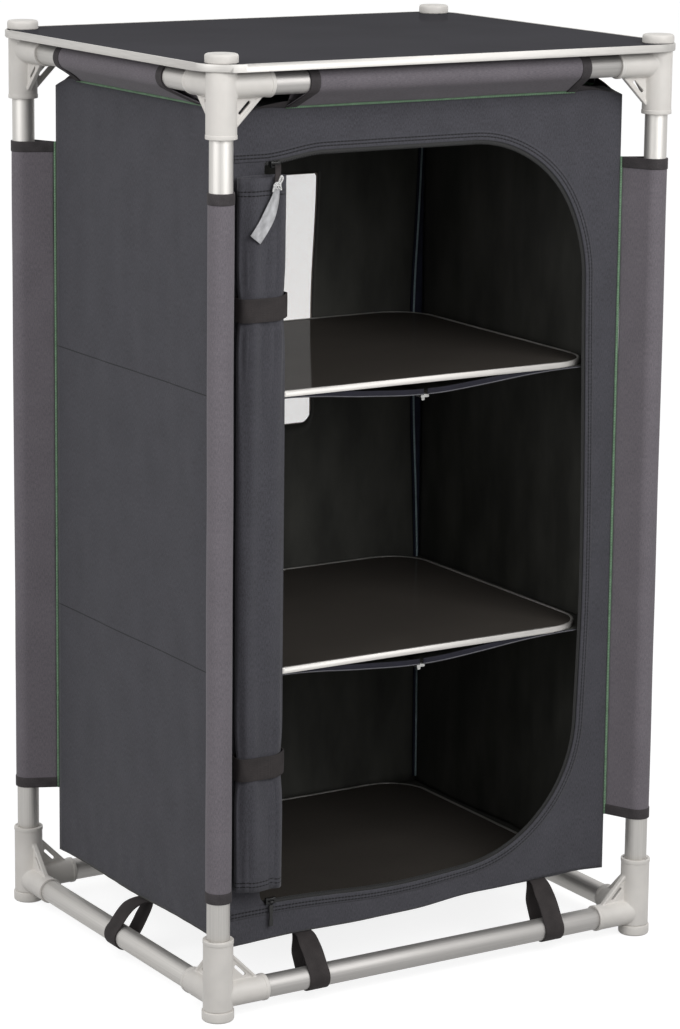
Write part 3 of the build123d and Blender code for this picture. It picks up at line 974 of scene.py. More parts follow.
def connector(name, node, rail_z, mouth):
    """One corner connector about the post's axis, its sockets towards +X and +Y."""
    start = low(node).z
    end = high(node).z
    reach = sizes().socket_reach
    bore = TUBE_RADIUS + 0.12 * MM
    parts = [cylinder("column", COLUMN_RADIUS, start, end)]
    for turn in SOCKET_TURNS:
        socket = cylinder("socket", SOCKET_RADIUS, 0, reach)
        socket.data.transform(socket_pose(turn, rail_z))
        parts.append(socket)
        for piece in gusset(rail_z, mouth):
            piece.data.transform(Matrix.Rotation(radians(turn), 4, "Z"))
            parts.append(piece)
    body = joined(name, parts)
    modify(body, "REMESH", mode="VOXEL", voxel_size=0.62 * MM, adaptivity=0)
    modify(body, "SMOOTH", factor=0.5, iterations=7)
    modify(body, "DECIMATE", ratio=0.16)
    cut_away(body, cylinder("bore", bore, start - 10 * MM, end + 10 * MM))
    for turn in SOCKET_TURNS:
        cutter = cylinder("bore", bore, COLUMN_RADIUS + 2 * MM, reach + 10 * MM)
        cutter.data.transform(socket_pose(turn, rail_z))
        cut_away(body, cutter)
    # a raised collar at each mouth
    collars = []
    mouths = [(Matrix(), COLUMN_RADIUS, end if mouth > 0 else start, -mouth)]
    mouths += [(socket_pose(turn, rail_z), SOCKET_RADIUS, reach, -1) for turn in SOCKET_TURNS]
    for pose, radius, place, inwards in mouths:
        near, far = sorted((place, place + inwards * COLLAR_LENGTH))
        collar = cylinder("collar", radius + COLLAR_RISE, near, far, cap="NOTHING")
        modify(collar, "SOLIDIFY", thickness=radius + COLLAR_RISE - bore, offset=-1)
        soften(collar, 0.5, segments=3)
        collar.data.transform(pose)
        collars.append(collar)
    body = joined(name, [body, *collars])
    smooth(body, 40)
    return body


class CUPBOARD_OT_connectors(bpy.types.Operator):
    """Corner connectors: a column, two sockets and two slotted gussets, softly blended"""
    bl_idname = "cupboard.connectors"
    bl_label = "Corner connectors"

    def execute(self, context):
        for level, node, rail_z, mouth in (
            ("upper", "top_connectors", TOP_RAIL_Z, -1),
            ("lower", "bottom_connectors", LOW_RAIL_Z, 1),
        ):
            model = connector(level, node, rail_z, mouth)
            for corner, where in CORNERS.items():
                piece = copied(model, f"{level}_connector_{corner}", placed(where))
                dress(piece, "cupboard", ["plastic"], [node])
            discard(model)
        return {"FINISHED"}


def plug(name, head_from, head_to, neck, stem_to, edge):
    """A round head with a soft outer edge, a thin neck next to the seat, and a stem.

    neck is the neck's length, and edge the width of the soft edge in millimetres.
    """
    radius = (high("feet").x - low("feet").x) / 2 - POST_X
    stem = TUBE_RADIUS - sizes().tube_wall - 0.35 * MM
    up = 1 if stem_to > head_to else -1
    near, far = sorted((head_from, head_to))
    obj = cylinder(name, radius, near, far, sides=48)

    def pick_seat():
        pick(obj, "FACE", lambda f: f.normal.z * up > 0.9
             and abs(f.calc_center_median().z - head_to) < 0.01 * MM)

    def pull_out(distance):
        bpy.ops.mesh.extrude_region_move(TRANSFORM_OT_translate={"value": (0, 0, distance)})

    with editing(obj):
        pick(obj, "EDGE", lambda e: all(abs(v.co.z - head_from) < 0.01 * MM for v in e.verts))
        round_picked(edge, 5)
        pick_seat()
        round_picked(0.5, 2)
        pick_seat()
        bpy.ops.mesh.inset(thickness=1.2 * MM)
        pull_out(up * neck)
        bpy.ops.mesh.inset(thickness=radius - 1.7 * MM - stem)
        pull_out(stem_to - head_to - up * neck)
        round_picked(0.8, 2)
    smooth(obj)
    return obj


class CUPBOARD_OT_feet_and_caps(bpy.types.Operator):
    """Feet under the posts, and the caps that hold the tabletop"""
    bl_idname = "cupboard.feet_and_caps"
    bl_label = "Feet and caps"

    def execute(self, context):
        feet, caps = "feet", "tabletop_corner_caps"
        neck = 0.9 * MM
        foot = plug("foot", 0, low("bottom_connectors").z - neck, neck, high(feet).z, 2.5)
        neck = 0.6 * MM
        cap = plug("cap", high(caps).z, high("tabletop_panel").z + neck, neck, low(caps).z, 3)
        for corner, where in CORNERS.items():
            for model, name, body, node in (
                (foot, "foot_", "cupboard", feet), (cap, "cap_", "tabletop", caps),
            ):
                dress(copied(model, name + corner, placed(where)), body,
                      ["plastic"], [node])
        discard(foot)
        discard(cap)
        return {"FINISHED"}


def edge_profile(name, node, radius, wall, edge, lip):
    """The metal profile round a panel, its outer edges rolled and its lips proud of the panel.

    edge is the width of the rolled edges in millimetres.
    """
    (x0, y0, z0), (x1, y1, z1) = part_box(node)
    obj = block(name, (x0, x1), (y0, y1), (z0 - lip / 2, z1 + lip))

    def outer_rim(e):
        """Whether an edge is level, sharp, and part of the outer side."""
        if e.is_boundary or e.calc_face_angle(0) <= 0.9 or abs(along_edge(e).z) >= 0.01 * MM:
            return False
        inner = e.verts[0].co.to_2d().length - 0.3 * wall
        return any(f.calc_center_median().to_2d().length > inner for f in e.link_faces)

    with editing(obj):
        pick(obj, "EDGE", lambda e: abs(along_edge(e).z) > MM)
        bpy.ops.mesh.bevel(offset=radius, segments=14, affect="EDGES")
        pick(obj, "FACE", lambda f: abs(f.normal.z) > 0.9)
        bpy.ops.mesh.inset(thickness=wall)
        bpy.ops.mesh.delete(type="FACE")
        pick(obj, "EDGE", lambda e: e.is_boundary)
        bpy.ops.mesh.bridge_edge_loops()
        pick(obj, "EDGE", outer_rim)
        round_picked(edge, 3)
    smooth(obj, 50)
    return obj


class CUPBOARD_OT_tabletop(bpy.types.Operator):
    """Tabletop: glossy laminate in a rolled metal edge"""
    bl_idname = "cupboard.tabletop"
    bl_label = "Tabletop"

    def execute(self, context):
        edging = edge_profile(
            "tabletop_edging", "tabletop_rim", 40 * MM, 3 * MM, edge=1.2, lip=0.3 * MM)
        dress(edging, "tabletop", ["edging"], ["tabletop_rim"])
        refinish("tabletop_panel", "tabletop")
        return {"FINISHED"}


class CUPBOARD_OT_boards(bpy.types.Operator):
    """The three loose boards in their metal edges"""
    bl_idname = "cupboard.boards"
    bl_label = "Boards"

    def execute(self, context):
        for node, body in (
            ("floor_board", "floor_shelf"), ("middle_shelf_board", "middle_shelf"),
            ("upper_shelf_board", "upper_shelf"),
        ):
            rim = node + "_rim"
            edging = edge_profile(
                node + "_edging", rim, 50 * MM, 3.4 * MM, edge=1.4, lip=0.7 * MM)
            dress(edging, body, ["edging"], [rim])
            refinish(node, "boards")
        return {"FINISHED"}


# Cabinet
LINED_CLOTH = ["cabinet", "lining"]


def wall(name, node, start, end, posts):
    """A side of the cabinet between two corners, seen from outside with start at the left."""
    width = hypot(end[0] - start[0], end[1] - start[1])
    height = CABINET_HIGH - CABINET_LOW

    def place(s, t):
        x = start[0] + (end[0] - start[0]) * s
        y = start[1] + (end[1] - start[1]) * s
        return drape(x, y, CABINET_LOW + height * t), (s * width, t * height)

    step = sizes().weave_step
    obj = cloth_sheet(name, round(width / step), round(height / step), place)
    thicken(obj, sizes().cloth, lined=True)
    dress(obj, "cupboard", ["side", "lining"], [node])
    ["post_sleeve_" + post for post in posts]


def loop_in_frame(hole, radii, steps):
    """Two matching loops in X and Z: a rectangle, and the rounded hole in it.

    hole is (left, right, foot, top). radii run from the lower right corner round to the lower left.
    """
    left, right, foot, top = hole
    outer, inner = [], []

    def between(a, b, share):
        return a[0] + (b[0] - a[0]) * share, a[1] + (b[1] - a[1]) * share

    def straight(a, b, c, d, count):
        """From a to b on the rectangle, and from c to d on the hole."""
        for step in range(count):
            outer.append(between(a, b, step / count))
            inner.append(between(c, d, step / count))

    def corner(x, z, middle, radius, start):
        """Round the hole's corner, and out to the rectangle's corner and back."""
        begin, end = (x, middle[1]), (middle[0], z)
        if start in (-90, 90):
            begin, end = end, begin
        count = 2 * round((radius + 50 * MM) / steps)
        for step in range(count):
            share = step / count
            if share < 0.5:
                outer.append(between(begin, (x, z), 2 * share))
            else:
                outer.append(between((x, z), end, 2 * share - 1))
            angle = radians(start + 90 * share)
            inner.append((middle[0] + radius * cos(angle), middle[1] + radius * sin(angle)))

    a, b, c, d = radii
    wide = max(round((right - left - a - d) / steps), 2)
    tall = max(round((top - foot - a - b) / steps), 2)
    straight((left + d, CABINET_LOW), (right - a, CABINET_LOW),
             (left + d, foot), (right - a, foot), wide)
    corner(WALL_X, CABINET_LOW, (right - a, foot + a), a, -90)
    straight((WALL_X, foot + a), (WALL_X, top - b), (right, foot + a), (right, top - b), tall)
    corner(WALL_X, CABINET_HIGH, (right - b, top - b), b, 0)
    straight((right - b, CABINET_HIGH), (left + c, CABINET_HIGH),
             (right - b, top), (left + c, top), wide)
    corner(-WALL_X, CABINET_HIGH, (left + c, top - c), c, 90)
    straight((-WALL_X, top - c), (-WALL_X, foot + d), (left, top - c), (left, foot + d), tall)
    corner(-WALL_X, CABINET_LOW, (left + d, foot + d), d, 180)
    return outer + outer[:1], inner + inner[:1]


def off_wall(x, y, z, proud):
    """Point on the front or the back as it hangs, and a distance towards the back from it."""
    point = drape(x, y, z)
    # the back is drawn aside where its window's edge isn't straight
    beside = ease(0.03, 0.09, point.x) * ease(0.2, 0.12, point.x) if point.y > 0 else 0
    aside = (6.3 * ease(0.68, 0.845, point.z) - 4.5) * MM * beside
    return point + Vector((aside, proud, 0))


def pierced_wall(name, node, y, hole, radii, rings):
    """The front or the back of the cabinet, with its opening."""
    outer, inner = loop_in_frame(hole, radii, sizes().weave_step)
    facing = -1 if y > 0 else 1

    def place(s, t):
        index = round(s * (len(outer) - 1))
        x = outer[index][0] + (inner[index][0] - outer[index][0]) * t
        z = outer[index][1] + (inner[index][1] - outer[index][1]) * t
        return off_wall(facing * x, y, z, 0), (facing * x + WALL_X, z - CABINET_LOW)

    obj = cloth_sheet(name, len(outer) - 1, rings, place, closed=True)
    thicken(obj, sizes().cloth, lined=True)
    dress(obj, "cupboard", LINED_CLOTH, [node])


class CUPBOARD_OT_walls(bpy.types.Operator):
    """Sides, roof and floor of the cabinet: coated cloth as it hangs"""
    bl_idname = "cupboard.walls"
    bl_label = "Cabinet walls"

    def execute(self, context):
        wall("left_side_cloth", "cabinet_left_wall", (-WALL_X, WALL_Y), (-WALL_X, -WALL_Y),
             ["front_left", "back_left"])
        wall("right_side_cloth", "cabinet_right_wall", (WALL_X, -WALL_Y), (WALL_X, WALL_Y),
             ["front_right", "back_right"])
        size = (2 * WALL_X, 2 * WALL_Y)
        for name, node, level, up in (
            ("roof_cloth", "cabinet_roof", CABINET_HIGH, 1),
            ("floor_cloth", "cabinet_floor", CABINET_LOW, -1),
        ):
            def place(s, t):
                x, y = (2 * s - 1) * WALL_X * up, (2 * t - 1) * WALL_Y
                point = drape(x, y, level)
                middle = (1 - (2 * s - 1) ** 4) * (1 - (2 * t - 1) ** 4)
                if up > 0:
                    point.z -= (5 + ripple(12 * x, 12 * y, 4)) * MM * middle
                else:
                    point.z += (CABINET_LOW + 0.3 * MM - point.z) * ease(0, 0.1, middle)
                return point, (s * size[0], t * size[1])

            obj = cloth_sheet(name, 80, 64, place)
            thicken(obj, sizes().cloth, lined=True)
            dress(obj, "cupboard", LINED_CLOTH, [node])
        return {"FINISHED"}


class CUPBOARD_OT_front_panel(bpy.types.Operator):
    """Front of the cabinet with its round-cornered door opening"""
    bl_idname = "cupboard.front_panel"
    bl_label = "Front panel"

    def execute(self, context):
        hole = (DOOR_LEFT, DOOR_RIGHT, DOOR_LOW, DOOR_HIGH)
        radii = (sizes().door_radius, sizes().door_radius, 3 * MM, 13 * MM)
        # the least share of its flat size that a sheet may have, a little over the real one
        pierced_wall(
            "front_panel_cloth", "cabinet_front_panel", -WALL_Y, hole, radii, 16)
        return {"FINISHED"}


class CUPBOARD_OT_back_wall(bpy.types.Operator):
    """Back of the cabinet with its bound net window"""
    bl_idname = "cupboard.back_wall"
    bl_label = "Back wall"

    def execute(self, context):
        net_low, net_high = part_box("back_window_net")
        lap = 6 * MM
        hole = (net_low.x + lap, net_high.x - lap, net_low.z + lap, net_high.z - lap)
        pierced_wall(
            "back_cloth", "cabinet_back_wall", WALL_Y, hole, (18 * MM, 2 * MM, 2 * MM, 18 * MM),
            34)

        width = net_high.x - net_low.x
        height = net_high.z - net_low.z

        def place(s, t):
            x, z = net_high.x - s * width, net_low.z + t * height
            return off_wall(x, WALL_Y, z, 0.35 * MM), (s * width, t * height)

        net = cloth_sheet("window_net", 34, 52, place)
        thicken(net, 0.3 * MM, offset=1)
        dress(net, "cupboard", ["net"], ["back_window_net"])

        # the binding covers the cut from 1 mm inside it to 9 mm outside
        tape_width, corner_radius = 10 * MM, 3 * MM
        legs = rounded_legs(*hole, corner_radius)
        round_hole = sum(leg[0] for leg in legs)

        def edge(s, t):
            out = (t - 0.5) * tape_width + 4 * MM
            x, z, _ = point_on(legs, s * round_hole, corner_radius, out)
            return off_wall(x, WALL_Y, z, 1.3 * MM), (t * tape_width, s)

        tape = strip("window_binding", 160, 4, edge, 0.8, closed=True)
        dress(tape, "cupboard", ["binding"])
        return {"FINISHED"}


# Sleeves and piping
SLEEVE_FOLDS = 72
SLEEVE_SLACK = 0.7 * MM
SEAM_GAP = 4.5 * MM
SEAM_RADIUS = 1.0 * MM
PIPING_RADIUS = 1.7 * MM
CORNER_REACH = hypot(POST_X - WALL_X, POST_Y - WALL_Y)
# how far a rail sleeve reaches from the middle in millimetres: at its rail, and at its piping
SLEEVE_ENDS = {"front": (177, 183), "back": (177, 183), "left": (123, 144), "right": (123, 144)}
# millimetres by which a post sleeve's lower and upper end sit higher than the others'
SLEEVE_LIFT = {
    "front_left": (0, -3), "front_right": (7, 3), "back_right": (4, 2), "back_left": (8, 4)}


def sleeve_levels(corner):
    """Height of a post sleeve's foot and of its top."""
    foot, top = SLEEVE_LIFT[corner]
    return SLEEVE_LOW + foot * MM, SLEEVE_HIGH + top * MM


def corner_axes(corner):
    """Matrix whose +X runs from a post to the cabinet's corner."""
    return placed(CORNERS[corner]) @ Matrix.Rotation(radians(45), 4, "Z")


def valance_axes():
    """Across a rail sleeve, in a side's own axes: its reach, down to the cabinet, off its face."""
    reach = Vector((0, POST_Y - WALL_Y, CABINET_HIGH - TOP_RAIL_Z))
    down = reach.normalized()
    return reach.length, down, Vector((0, -down.z, down.y))


def sleeve(name, node, rows, place):
    """The cloth of a sleeve round a tube."""
    obj = cloth_sheet(name, SLEEVE_FOLDS, rows, place, closed=True)
    thicken(obj, sizes().cloth, offset=0)
    return dress(obj, "cupboard", ["sleeve"], [node])


def bound_end(name, place):
    """A band of tape folded over a sleeve's end."""
    tape = strip(name, SLEEVE_FOLDS, 4, place, 2.0, soft=0.5, closed=True)
    return dress(tape, "cupboard", ["binding"])


class CUPBOARD_OT_post_sleeves(bpy.types.Operator):
    """Sleeves round the posts, flat to the cabinet's corner, bound at both ends"""
    bl_idname = "cupboard.post_sleeves"
    bl_label = "Post sleeves"

    def execute(self, context):
        girth, outline = belt(TUBE_RADIUS + SLEEVE_SLACK, CORNER_REACH - SEAM_GAP, SEAM_RADIUS)
        width = sizes().binding
        for corner, (_, _, turn) in CORNERS.items():
            move = corner_axes(corner)
            foot, top = sleeve_levels(corner)
            height = top - foot

            def place(s, t):
                a, b = outline(s)
                loose = 1 + 0.03 * ripple(3 * s + turn, 6 * t, 2)
                point = Vector((a * loose, b * loose * 1.01, foot + t * height))
                return move @ point, (s * girth, t * height)

            cloth = sleeve("post_sleeve_cloth_" + corner, "post_sleeve_" + corner, 120, place)
            for end, start in (("upper", top - width), ("lower", foot)):
                def round_end(s, t):
                    a, b = outline(s)
                    point = Vector((a * 1.02, b * 1.02, start + t * width))
                    return move @ point, (s * girth, t * width)

                bound_end(f"{end}_binding_{corner}", round_end)
        return {"FINISHED"}


class CUPBOARD_OT_rail_sleeves(bpy.types.Operator):
    """Sleeves round the upper rails, leaning in to the cabinet's upper edge, bound at both ends"""
    bl_idname = "cupboard.rail_sleeves"
    bl_label = "Rail sleeves"

    def execute(self, context):
        reach, down, off = valance_axes()
        tip = reach - SEAM_GAP
        girth, outline = belt(TUBE_RADIUS + SLEEVE_SLACK, tip, SEAM_RADIUS)
        width = sizes().binding
        for side, where in SIDES.items():
            at_rail, at_piping = SLEEVE_ENDS[side]

            def half_length(a):
                along = max(a / tip, 0)
                bow = along if side in ("front", "back") else along ** 2
                return (at_rail + (at_piping - at_rail) * bow) * MM

            def across(x, a, b):
                """Point of the sleeve's section at a distance along its rail."""
                return placed(where) @ (Vector((x, 0, TOP_RAIL_Z)) + down * a + off * b)

            def place(s, t):
                a, b = outline(s)
                x = (2 * t - 1) * half_length(a)
                hollow = ease(0, 0.7, a / tip) * (0.9 * ripple(14 * x, a * 40, where[2]) - 0.5) * MM
                return across(x, a, b + (hollow if b > 0 else -hollow)), (s * girth, x)

            cloth = sleeve("rail_sleeve_cloth_" + side, "top_rail_sleeve_" + side, 64, place)
            for hand, end in (("left", -1), ("right", 1)):
                def round_end(s, t):
                    a, b = outline(s)
                    x = end * (half_length(a) - (1 - t if end > 0 else t) * width)
                    return across(x, a * 1.02, b * 1.03), (s * girth, t * width)

                bound_end(f"rail_binding_{side}_{hand}", round_end)
            "top_rail_" + side
        return {"FINISHED"}


class CUPBOARD_OT_piping(bpy.types.Operator):
    """Green piping in the seams between the cabinet and its sleeves"""
    bl_idname = "cupboard.piping"
    bl_label = "Piping"

    def execute(self, context):
        waver = 0.3 * MM
        cords = []
        for corner, (_, _, turn) in CORNERS.items():
            foot, top = sleeve_levels(corner)
            points = []
            for step in range(25):
                z = foot + (top - foot) * step / 24
                aside = waver * ripple(4 * z, turn, 1)
                seam = Vector((CORNER_REACH - PIPING_RADIUS, aside, z))
                points.append(corner_axes(corner) @ seam)
            cords.append(cord_mesh("upright_piping", points, PIPING_RADIUS))
        reach, down, off = valance_axes()
        for side, where in SIDES.items():
            half = SLEEVE_ENDS[side][1] * MM
            points = []
            for step in range(15):
                x = half * (step / 7 - 1)
                seam = down * (reach - PIPING_RADIUS) + off * waver * ripple(9 * x, 3, 1)
                points.append(placed(where) @ (Vector((x, 0, TOP_RAIL_Z)) + seam))
            cords.append(cord_mesh("edge_piping", points, PIPING_RADIUS))
        dress(joined("piping_cords", cords), "cupboard", ["piping"], ["cabinet_piping"])
        return {"FINISHED"}


class CUPBOARD_OT_ear_flaps(bpy.types.Operator):
    """Dark flaps of lining between the rail sleeves' ends and the cabinet's corners"""
    bl_idname = "cupboard.ear_flaps"
    bl_label = "Lining flaps"

    def execute(self, context):
        lean = -valance_axes()[1]
        flaps, run = [], 0
        for side, where in SIDES.items():
            turn = placed(where).to_3x3()
            start = (SLEEVE_ENDS[side][1] - 3) * MM
            reach = (WALL_X if side in ("front", "back") else WALL_Y) - 6 * MM - start
            for end in (-1, 1):
                def place(s, t):
                    """s runs out from the sleeve to the corner, t up from the cabinet's edge."""
                    spot = placed(where) @ Vector((end * (start + reach * s), POST_Y - WALL_Y, 0))
                    seam = drape(spot.x, spot.y, CABINET_HIGH - MM)
                    rise = (13 * (1 - s) ** 1.6 + 0.5) * MM * t
                    inside = turn @ Vector((0, 2.2 * MM, 0))
                    return seam + inside + turn @ lean * rise, (s * 0.06, t * 0.02)

                flaps.append(strip(f"flap_{side}_{end}", 14, 6, place, 0.8, turned=end < 0))
                run += reach
        obj = joined("lining_flaps", flaps)
        dress(obj, "cupboard", ["binding"])
        # the flaps laid end to end, each a curved triangle
        run * 5.5 * MM
        return {"FINISHED"}


class CUPBOARD_OT_corner_seams(bpy.types.Operator):
    """Corded seams up the cabinet's inner corners"""
    bl_idname = "cupboard.corner_seams"
    bl_label = "Inner corner seams"

    def execute(self, context):
        end_gap = 8 * MM
        width, height = 12 * MM, CABINET_HIGH - CABINET_LOW - 2 * end_gap
        tapes, cords = [], []
        for right in (-1, 1):
            def place(s, t):
                """s runs in from the corner, t up."""
                z = CABINET_LOW + end_gap + height * t
                corner = drape(right * WALL_X, WALL_Y, z)
                reach = (3 + 12.5 * hump(z, 0.63, 0.22) + 1.2 * ripple(8 * z, right, 5)) * MM
                x = corner.x - right * (2.2 * MM + reach * s)
                return Vector((x, corner.y - (2.2 + 1.5 * s) * MM, z)), (s * width, t * height)

            tapes.append(strip("seam_tape", 4, 90, place, 1.2, turned=right > 0))
            points = [place(1, step / 30)[0] for step in range(31)]
            tapes.append(cord_mesh("seam_roll", points, 2.0 * MM))
            points = [point + Vector((right * 1.6 * MM, -1.7 * MM, 0)) for point in points]
            cords.append(cord_mesh("seam_edge", points, 1.3 * MM))
        dress(joined("inner_corner_tapes", tapes), "cupboard", ["seam_tape"])
        dress(joined("inner_corner_seams", cords), "cupboard", ["corner_seam"])
        return {"FINISHED"}


# each loop's side, and its place along that side from the middle
LOOP_SPREAD = 155 * MM
LOOPS = (
    ("front", -LOOP_SPREAD), ("front", LOOP_SPREAD), ("back", -LOOP_SPREAD),
    ("back", LOOP_SPREAD), ("left", 4 * MM), ("right", -14 * MM),
)


class CUPBOARD_OT_hold_down_loops(bpy.types.Operator):
    """Webbing loops that tie the cabinet to the lower rails"""
    bl_idname = "cupboard.hold_down_loops"
    bl_label = "Hold-down loops"

    def execute(self, context):
        for side, shift in LOOPS:
            where = placed(SIDES[side])
            spot = where @ Vector((shift, POST_Y - WALL_Y, 0))
            tip = drape(spot.x, spot.y, CABINET_LOW).z - 2.5 * MM
            reach = Vector((0, POST_Y - WALL_Y + 5 * MM, tip - LOW_RAIL_Z))
            up = reach.normalized()
            off = Vector((0, -up.z, up.y))
            girth, outline = belt(
                TUBE_RADIUS + 1.1 * MM, reach.length, 1.6 * MM, slack=(7 * MM, 2 * MM))

            def place(s, t):
                a, b = outline(s)
                # the webbing narrows a little and leans where it is sewn in
                lift = ease(0.6, 1, a / reach.length)
                x = shift + (t - 0.5) * STRAP_WIDTH * (1 - 0.15 * lift) + 3 * MM * lift
                b += 0.8 * MM * ripple(60 * x, 40 * a, shift * 10) * lift
                point = where @ (Vector((x, 0, LOW_RAIL_Z)) + up * a + off * b)
                return point, (t * STRAP_WIDTH, s * girth)

            hand = "left" if shift < 0 else "right"
            loop = strip(
                f"loop_{side}_{hand}", 80, 6, place, 1.5, soft=0.4, closed=True, turned=True)
            dress(loop, "cupboard", ["webbing"], ["hold_down_loops"])
        return {"FINISHED"}


# Door
def strip_along_opening(name, profile, thickness, beyond):
    """A strip along the door opening; profile takes 0 to 1, gives distance out and height off."""
    radius = sizes().door_radius
    legs = door_legs()
    full = sum(leg[0] for leg in legs) + 2 * beyond

    def place(s, t):
        out, proud = profile(t)
        x, z, _ = point_on(legs, s * full - beyond, radius, out)
        return drape(x, -WALL_Y, z) - Vector((0, proud, 0)), (s * full, out)

    obj = cloth_sheet(name, round(full / (5 * MM)), 12, place)
    return thicken(obj, thickness)


class CUPBOARD_OT_door_zip(bpy.types.Operator):
    """Zip round the door opening: tape, teeth and the folded band over them"""
    bl_idname = "cupboard.door_zip"
    bl_label = "Door zip"

    def execute(self, context):
        beyond = 36 * MM
        legs = door_legs()
        length = sum(leg[0] for leg in legs)

        def turned_edge(t):
            """Flat over the panel, then rolled round the opening's edge."""
            if t < 0.6:
                return (10.5 - 15 * t) * MM, (0.1 + 0.9 * ease(0, 0.3, t)) * MM
            turn = pi * (t - 0.6) / 0.4
            return (1.5 - 1.6 * sin(turn)) * MM, (0.1 + 0.9 * cos(turn)) * MM

        def sunk(t):
            """Flat behind the band."""
            return (2 - 6.5 * t) * MM, -0.9 * MM

        band = strip_along_opening("zip_band", turned_edge, 0.7 * MM, beyond)
        dress(band, "cupboard", ["band"])
        tape = strip_along_opening("zip_tape", sunk, 0.5 * MM, 0)
        dress(tape, "cupboard", ["zip"], ["door_zip"])
        bare()
        bpy.ops.mesh.primitive_cylinder_add(
            vertices=6, radius=0.5 * MM, depth=2.2 * MM, rotation=(pi / 2, 0, 0))
        tooth = named("tooth")
        with editing(tooth):
            pick(tooth, "EDGE", lambda e: abs(along_edge(e).y) < 0.1 * MM)
            round_picked(0.15, 1)
        places = []
        pitch = sizes().zip_pitch
        for step in range(int(length / pitch)):
            x, z, angle = point_on(legs, (step + 0.5) * pitch, sizes().door_radius, -3.9 * MM)
            spot = drape(x, -WALL_Y, z) + Vector((0, 0.6 * MM, 0))
            turn = Matrix.Rotation(-angle, 4, "Y") @ Matrix.Rotation(radians(90), 4, "Z")
            places.append(Matrix.Translation(spot) @ turn)
        teeth = smooth_all(row_of("zip_teeth", tooth, places))
        dress(teeth, "cupboard", ["zip"])
        length + 2 * beyond
        return {"FINISHED"}


def slider_body(name, x, y, z):
    """A zip slider: waisted body with a bridge for its pull."""
    body = block(name, (x - 6 * MM, x + 6 * MM), (y, y + 3.6 * MM), (z - 4 * MM, z + 4 * MM))
    with editing(body, "SELECT"):
        bpy.ops.mesh.subdivide(number_cuts=2)
        pick(body, "VERT", lambda v: abs(v.co.x - x) < 3 * MM and abs(v.co.z - z) > 3 * MM)
        bpy.ops.transform.resize(value=(1, 1, 0.8), center_override=(x, y, z))
    soften(body, 0.7, segments=3, sharper=40)
    arch = [(-3.4, 0.4), (-3, -2.4), (0, -3.4), (3, -2.4), (3.4, 0.4)]
    points = [(x + aside * MM, y + ahead * MM, z) for aside, ahead in arch]
    body = joined(name, [body, cord_mesh("bridge", points, 0.7 * MM)])
    smooth(body, 40)
    return body


# The upper pull, in millimetres to the right, backwards and up from its hook on the slider.
# The tab has its width, and by how much it is narrower at its end.
PULL_TAB = (8, 1.5)
KNOT_SCALE = Vector((1.25, 1, 1.25))
KNOT_PLACE = Vector((-12, -0.6, -18.5))
# each strand's points, its radius, and whether it is a ring
KNOT_STRANDS = (
    ([(0, 0, -2), (3.2, 0.4, 2), (5.4, 0, 6), (4, 0.6, 8.4), (2.2, 0, 5), (0.6, 0.8, 1)],
     1.2, False),
    ([(-3.4, 0.6, -1), (-2, -0.8, 2.6), (2, -0.9, 2), (3, 0.4, -1.4), (0, 1, -2.6)], 1.4, True),
    ([(-3.6, 0, -1), (-1, -1, 1), (3, -0.8, -0.6), (3.4, 0, -4)], 1.2, False),
    ([(-1.6, 0.4, 1), (-4, 0, -1.6), (-4.2, 0, -5)], 1.1, False),
)
RIBBON_WIDTH = 15
RIBBON_REACH = 55
# to the right and up
RIBBON_LINE = [(-12, -21), (-14.5, -33), (-21.5, -50), (-29.5, -63), (-37.5, -73.5)]


def pull_tab(hook, slider_y):
    """The dark tab that comes forward from the slider over the roll's upper end."""
    ahead = slider_y / MM - hook.y
    width, taper = PULL_TAB
    line = [(0.5, ahead - 3, -1), (-2, ahead - 7, 0.6), (-6, ahead - 14, -0.4), (-10, 2, -5.5),
            (-12, 0, -17)]

    def place(s, t):
        aside = Vector(((s - 0.5) * (width - taper * t), 0, 0))
        return (hook + curve_point(line, t) + aside) * MM, (s * width * MM, t * 30 * MM)

    return strip("zip_pull_tab", 6, 30, place, 1.6, soft=0.4)


def cord_knot(hook):
    """The knotted cord between the tab and the ribbon."""
    cords = []
    for points, radius, ring in KNOT_STRANDS:
        spots = [(hook + KNOT_PLACE + KNOT_SCALE * Vector(point)) * MM for point in points]
        cords.append(cord_mesh("strand", spots, radius * MM, closed=ring))
    return joined("zip_cord_knot", cords)


def pull_ribbon(hook):
    """The ribbon that hangs from the knot, narrowed where the knot gathers it."""

    def place(s, t):
        spot = curve_point(RIBBON_LINE, 1 - t)
        ahead = curve_point(RIBBON_LINE, 1.03 - t) - curve_point(RIBBON_LINE, 0.97 - t)
        ahead.normalize()
        across = (s - 0.5) * RIBBON_WIDTH * (0.42 + 0.58 * ease(1.0, 0.45, t))
        curl = 0.9 * sin(pi * (1 - t)) * cos(pi * (s - 0.5)) + 0.3 * ripple(30 * t, s, 1)
        aside = Vector((spot[0] - ahead.y * across, 0.4 + curl, spot[1] + ahead.x * across))
        return (hook + aside) * MM, (s * RIBBON_WIDTH * MM, t * RIBBON_REACH * MM)

    return strip("zip_ribbon", 10, 36, place, 1.0, soft=0.25)


def small_pull(slider_y):
    """The lower slider's pull: a plate with a waist."""
    start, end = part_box("bottom_door_pull")
    middle = (start + end) / 2
    plate = block("small_pull", *zip(start, end))
    with editing(plate, "SELECT"):
        bpy.ops.mesh.subdivide(number_cuts=3)
        pick(plate, "VERT", lambda v: abs(v.co.z - middle.z) < 2 * MM)
        bpy.ops.transform.resize(
            value=(0.7, 0.8, 1), center_override=(middle.x, slider_y, middle.z))
    soften(plate, 0.6, segments=3, sharper=40)
    smooth(plate, 40)
    return plate


